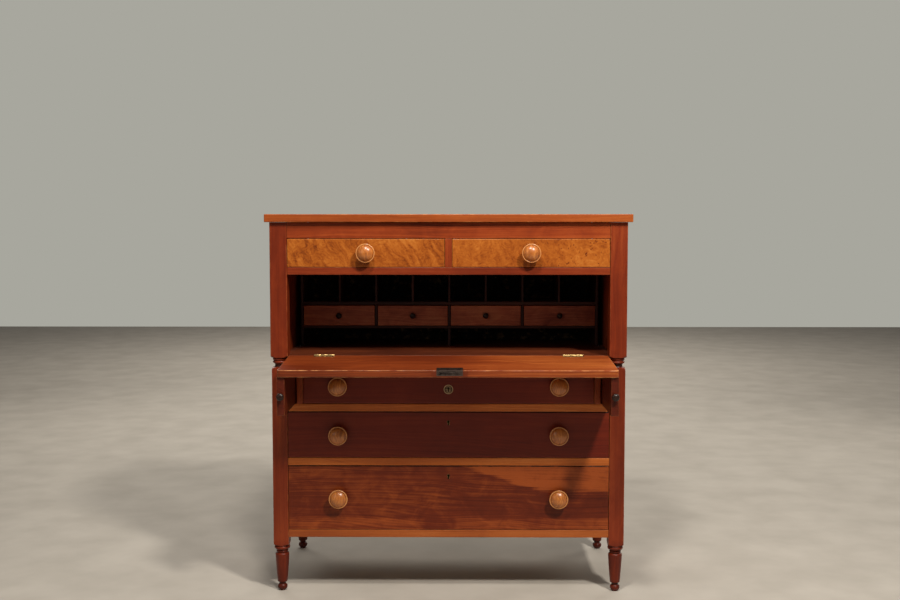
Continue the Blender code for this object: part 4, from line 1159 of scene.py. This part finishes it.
def make_floor():
    reach = 9.0
    mesh = bpy.data.meshes.new("floor")
    mesh.from_pydata([(-reach, -reach, 0.0), (reach, -reach, 0.0), (reach, reach, 0.0), (-reach, reach, 0.0)], [],
                     [(0, 1, 2, 3)])
    floor = new_object("floor", mesh)
    make = Recipe("pale_floor", 0.7, specular=0.2)
    tone = make.noise(make.place(X, 1), 6.0, 3.0)
    mesh.materials.append(make.finish(make.ramp(tone, (0.3, srgb(176, 170, 160)), (0.7, srgb(188, 182, 172)))))


def add_light(name, place, target, size, power, tint=(1.0, 0.94, 0.86)):
    data = bpy.data.lights.new(name, "AREA")
    data.shape = "DISK"
    data.size = size
    data.energy = power
    data.color = tint
    light = new_object(name, data)
    light.location = place
    light.rotation_euler = (Vector(target) - Vector(place)).to_track_quat("-Z", "Y").to_euler()


def make_room():
    make_floor()
    aim = (0.0, CASE_FRONT, 0.75)
    add_light("key", (1.6, CASE_FRONT - 2.43, 3.68), aim, 0.42, 139.0)
    add_light("steep", (-0.1, CASE_FRONT - 1.46, 3.25), aim, 0.35, 50.0)
    add_light("left_fill", (-2.4, CASE_FRONT - 2.4, 1.9), aim, 2.0, 9.0)
    add_light("back_left", (-2.2, 3.2, 2.6), aim, 1.6, 30.0)
    add_light("back_right", (2.6, 2.6, 2.2), aim, 1.6, 22.0)
    add_light("far_floor", (0.0, 5.5, 3.6), (0.0, 5.5, 0.0), 4.0, 150.0)
    world = bpy.data.worlds.new("studio")
    bpy.context.scene.world = world
    world.use_nodes = True
    nodes = world.node_tree.nodes
    lighting = nodes["Background"]
    lighting.inputs["Color"].default_value = srgb(188, 186, 182)
    lighting.inputs["Strength"].default_value = 0.2
    behind = nodes.new("ShaderNodeBackground")
    behind.inputs["Color"].default_value = srgb(168, 167, 158)
    choose = nodes.new("ShaderNodeMixShader")
    links = world.node_tree.links
    links.new(nodes.new("ShaderNodeLightPath").outputs["Is Camera Ray"], choose.inputs[0])
    links.new(lighting.outputs[0], choose.inputs[1])
    links.new(behind.outputs[0], choose.inputs[2])
    links.new(choose.outputs[0], nodes["World Output"].inputs["Surface"])
    bpy.context.scene.view_settings.view_transform = "Standard"


def make_camera():
    data = bpy.data.cameras.new("camera")
    data.lens = LENS
    data.sensor_width = 36.0
    camera = new_object("camera", data)
    camera.location = (EYE_SIDE, CASE_FRONT - EYE_DISTANCE, EYE_HEIGHT)
    camera.rotation_euler = (math.pi / 2 + EYE_PITCH, 0.0, EYE_TURN)
    bpy.context.scene.camera = camera


DEEP_TONES = (srgb(88, 26, 9), srgb(122, 44, 17), srgb(150, 66, 28))
# Painted shade: tones darkened for the shaded gallery inside the writing compartment
SHADE_DARKENED_TONES = (srgb(32, 17, 14), srgb(58, 31, 24), srgb(84, 48, 37))
POPLAR_TONES = (srgb(112, 82, 48), srgb(150, 116, 72), srgb(182, 148, 98))
GALLERY_BOARD_LEVELS = (DESK_LEVEL + 59 * MM, DESK_LEVEL + 68 * MM)
BRASS = metal("aged_brass", srgb(78, 54, 30), srgb(196, 166, 112), 0.36, 70.0, 0.0001)
RUBBED_BRASS = metal("rubbed_plate", srgb(60, 42, 30), srgb(196, 164, 126), 0.4, 90.0, 0.0001)
IRON = metal("dark_iron", srgb(30, 24, 22), srgb(92, 80, 74), 0.46, 90.0, 0.0002)
EBONY = ebonised("ebonised_wood")
BOX_WOODS = {part: poplar("poplar_box_" + part, axis, 50 + axis * 3 + len(part), 0.58, 0.1)
             for part, axis in (("side", Y), ("back", X), ("bottom", X))}

make_camera()
make_room()
make_posts()
make_case()
make_back()
dress_inside()
make_writing_board()
make_gallery()
make_gallery_drawers()
make_drawers()
make_fall()
make_hinges()
make_lock()
make_lopers()
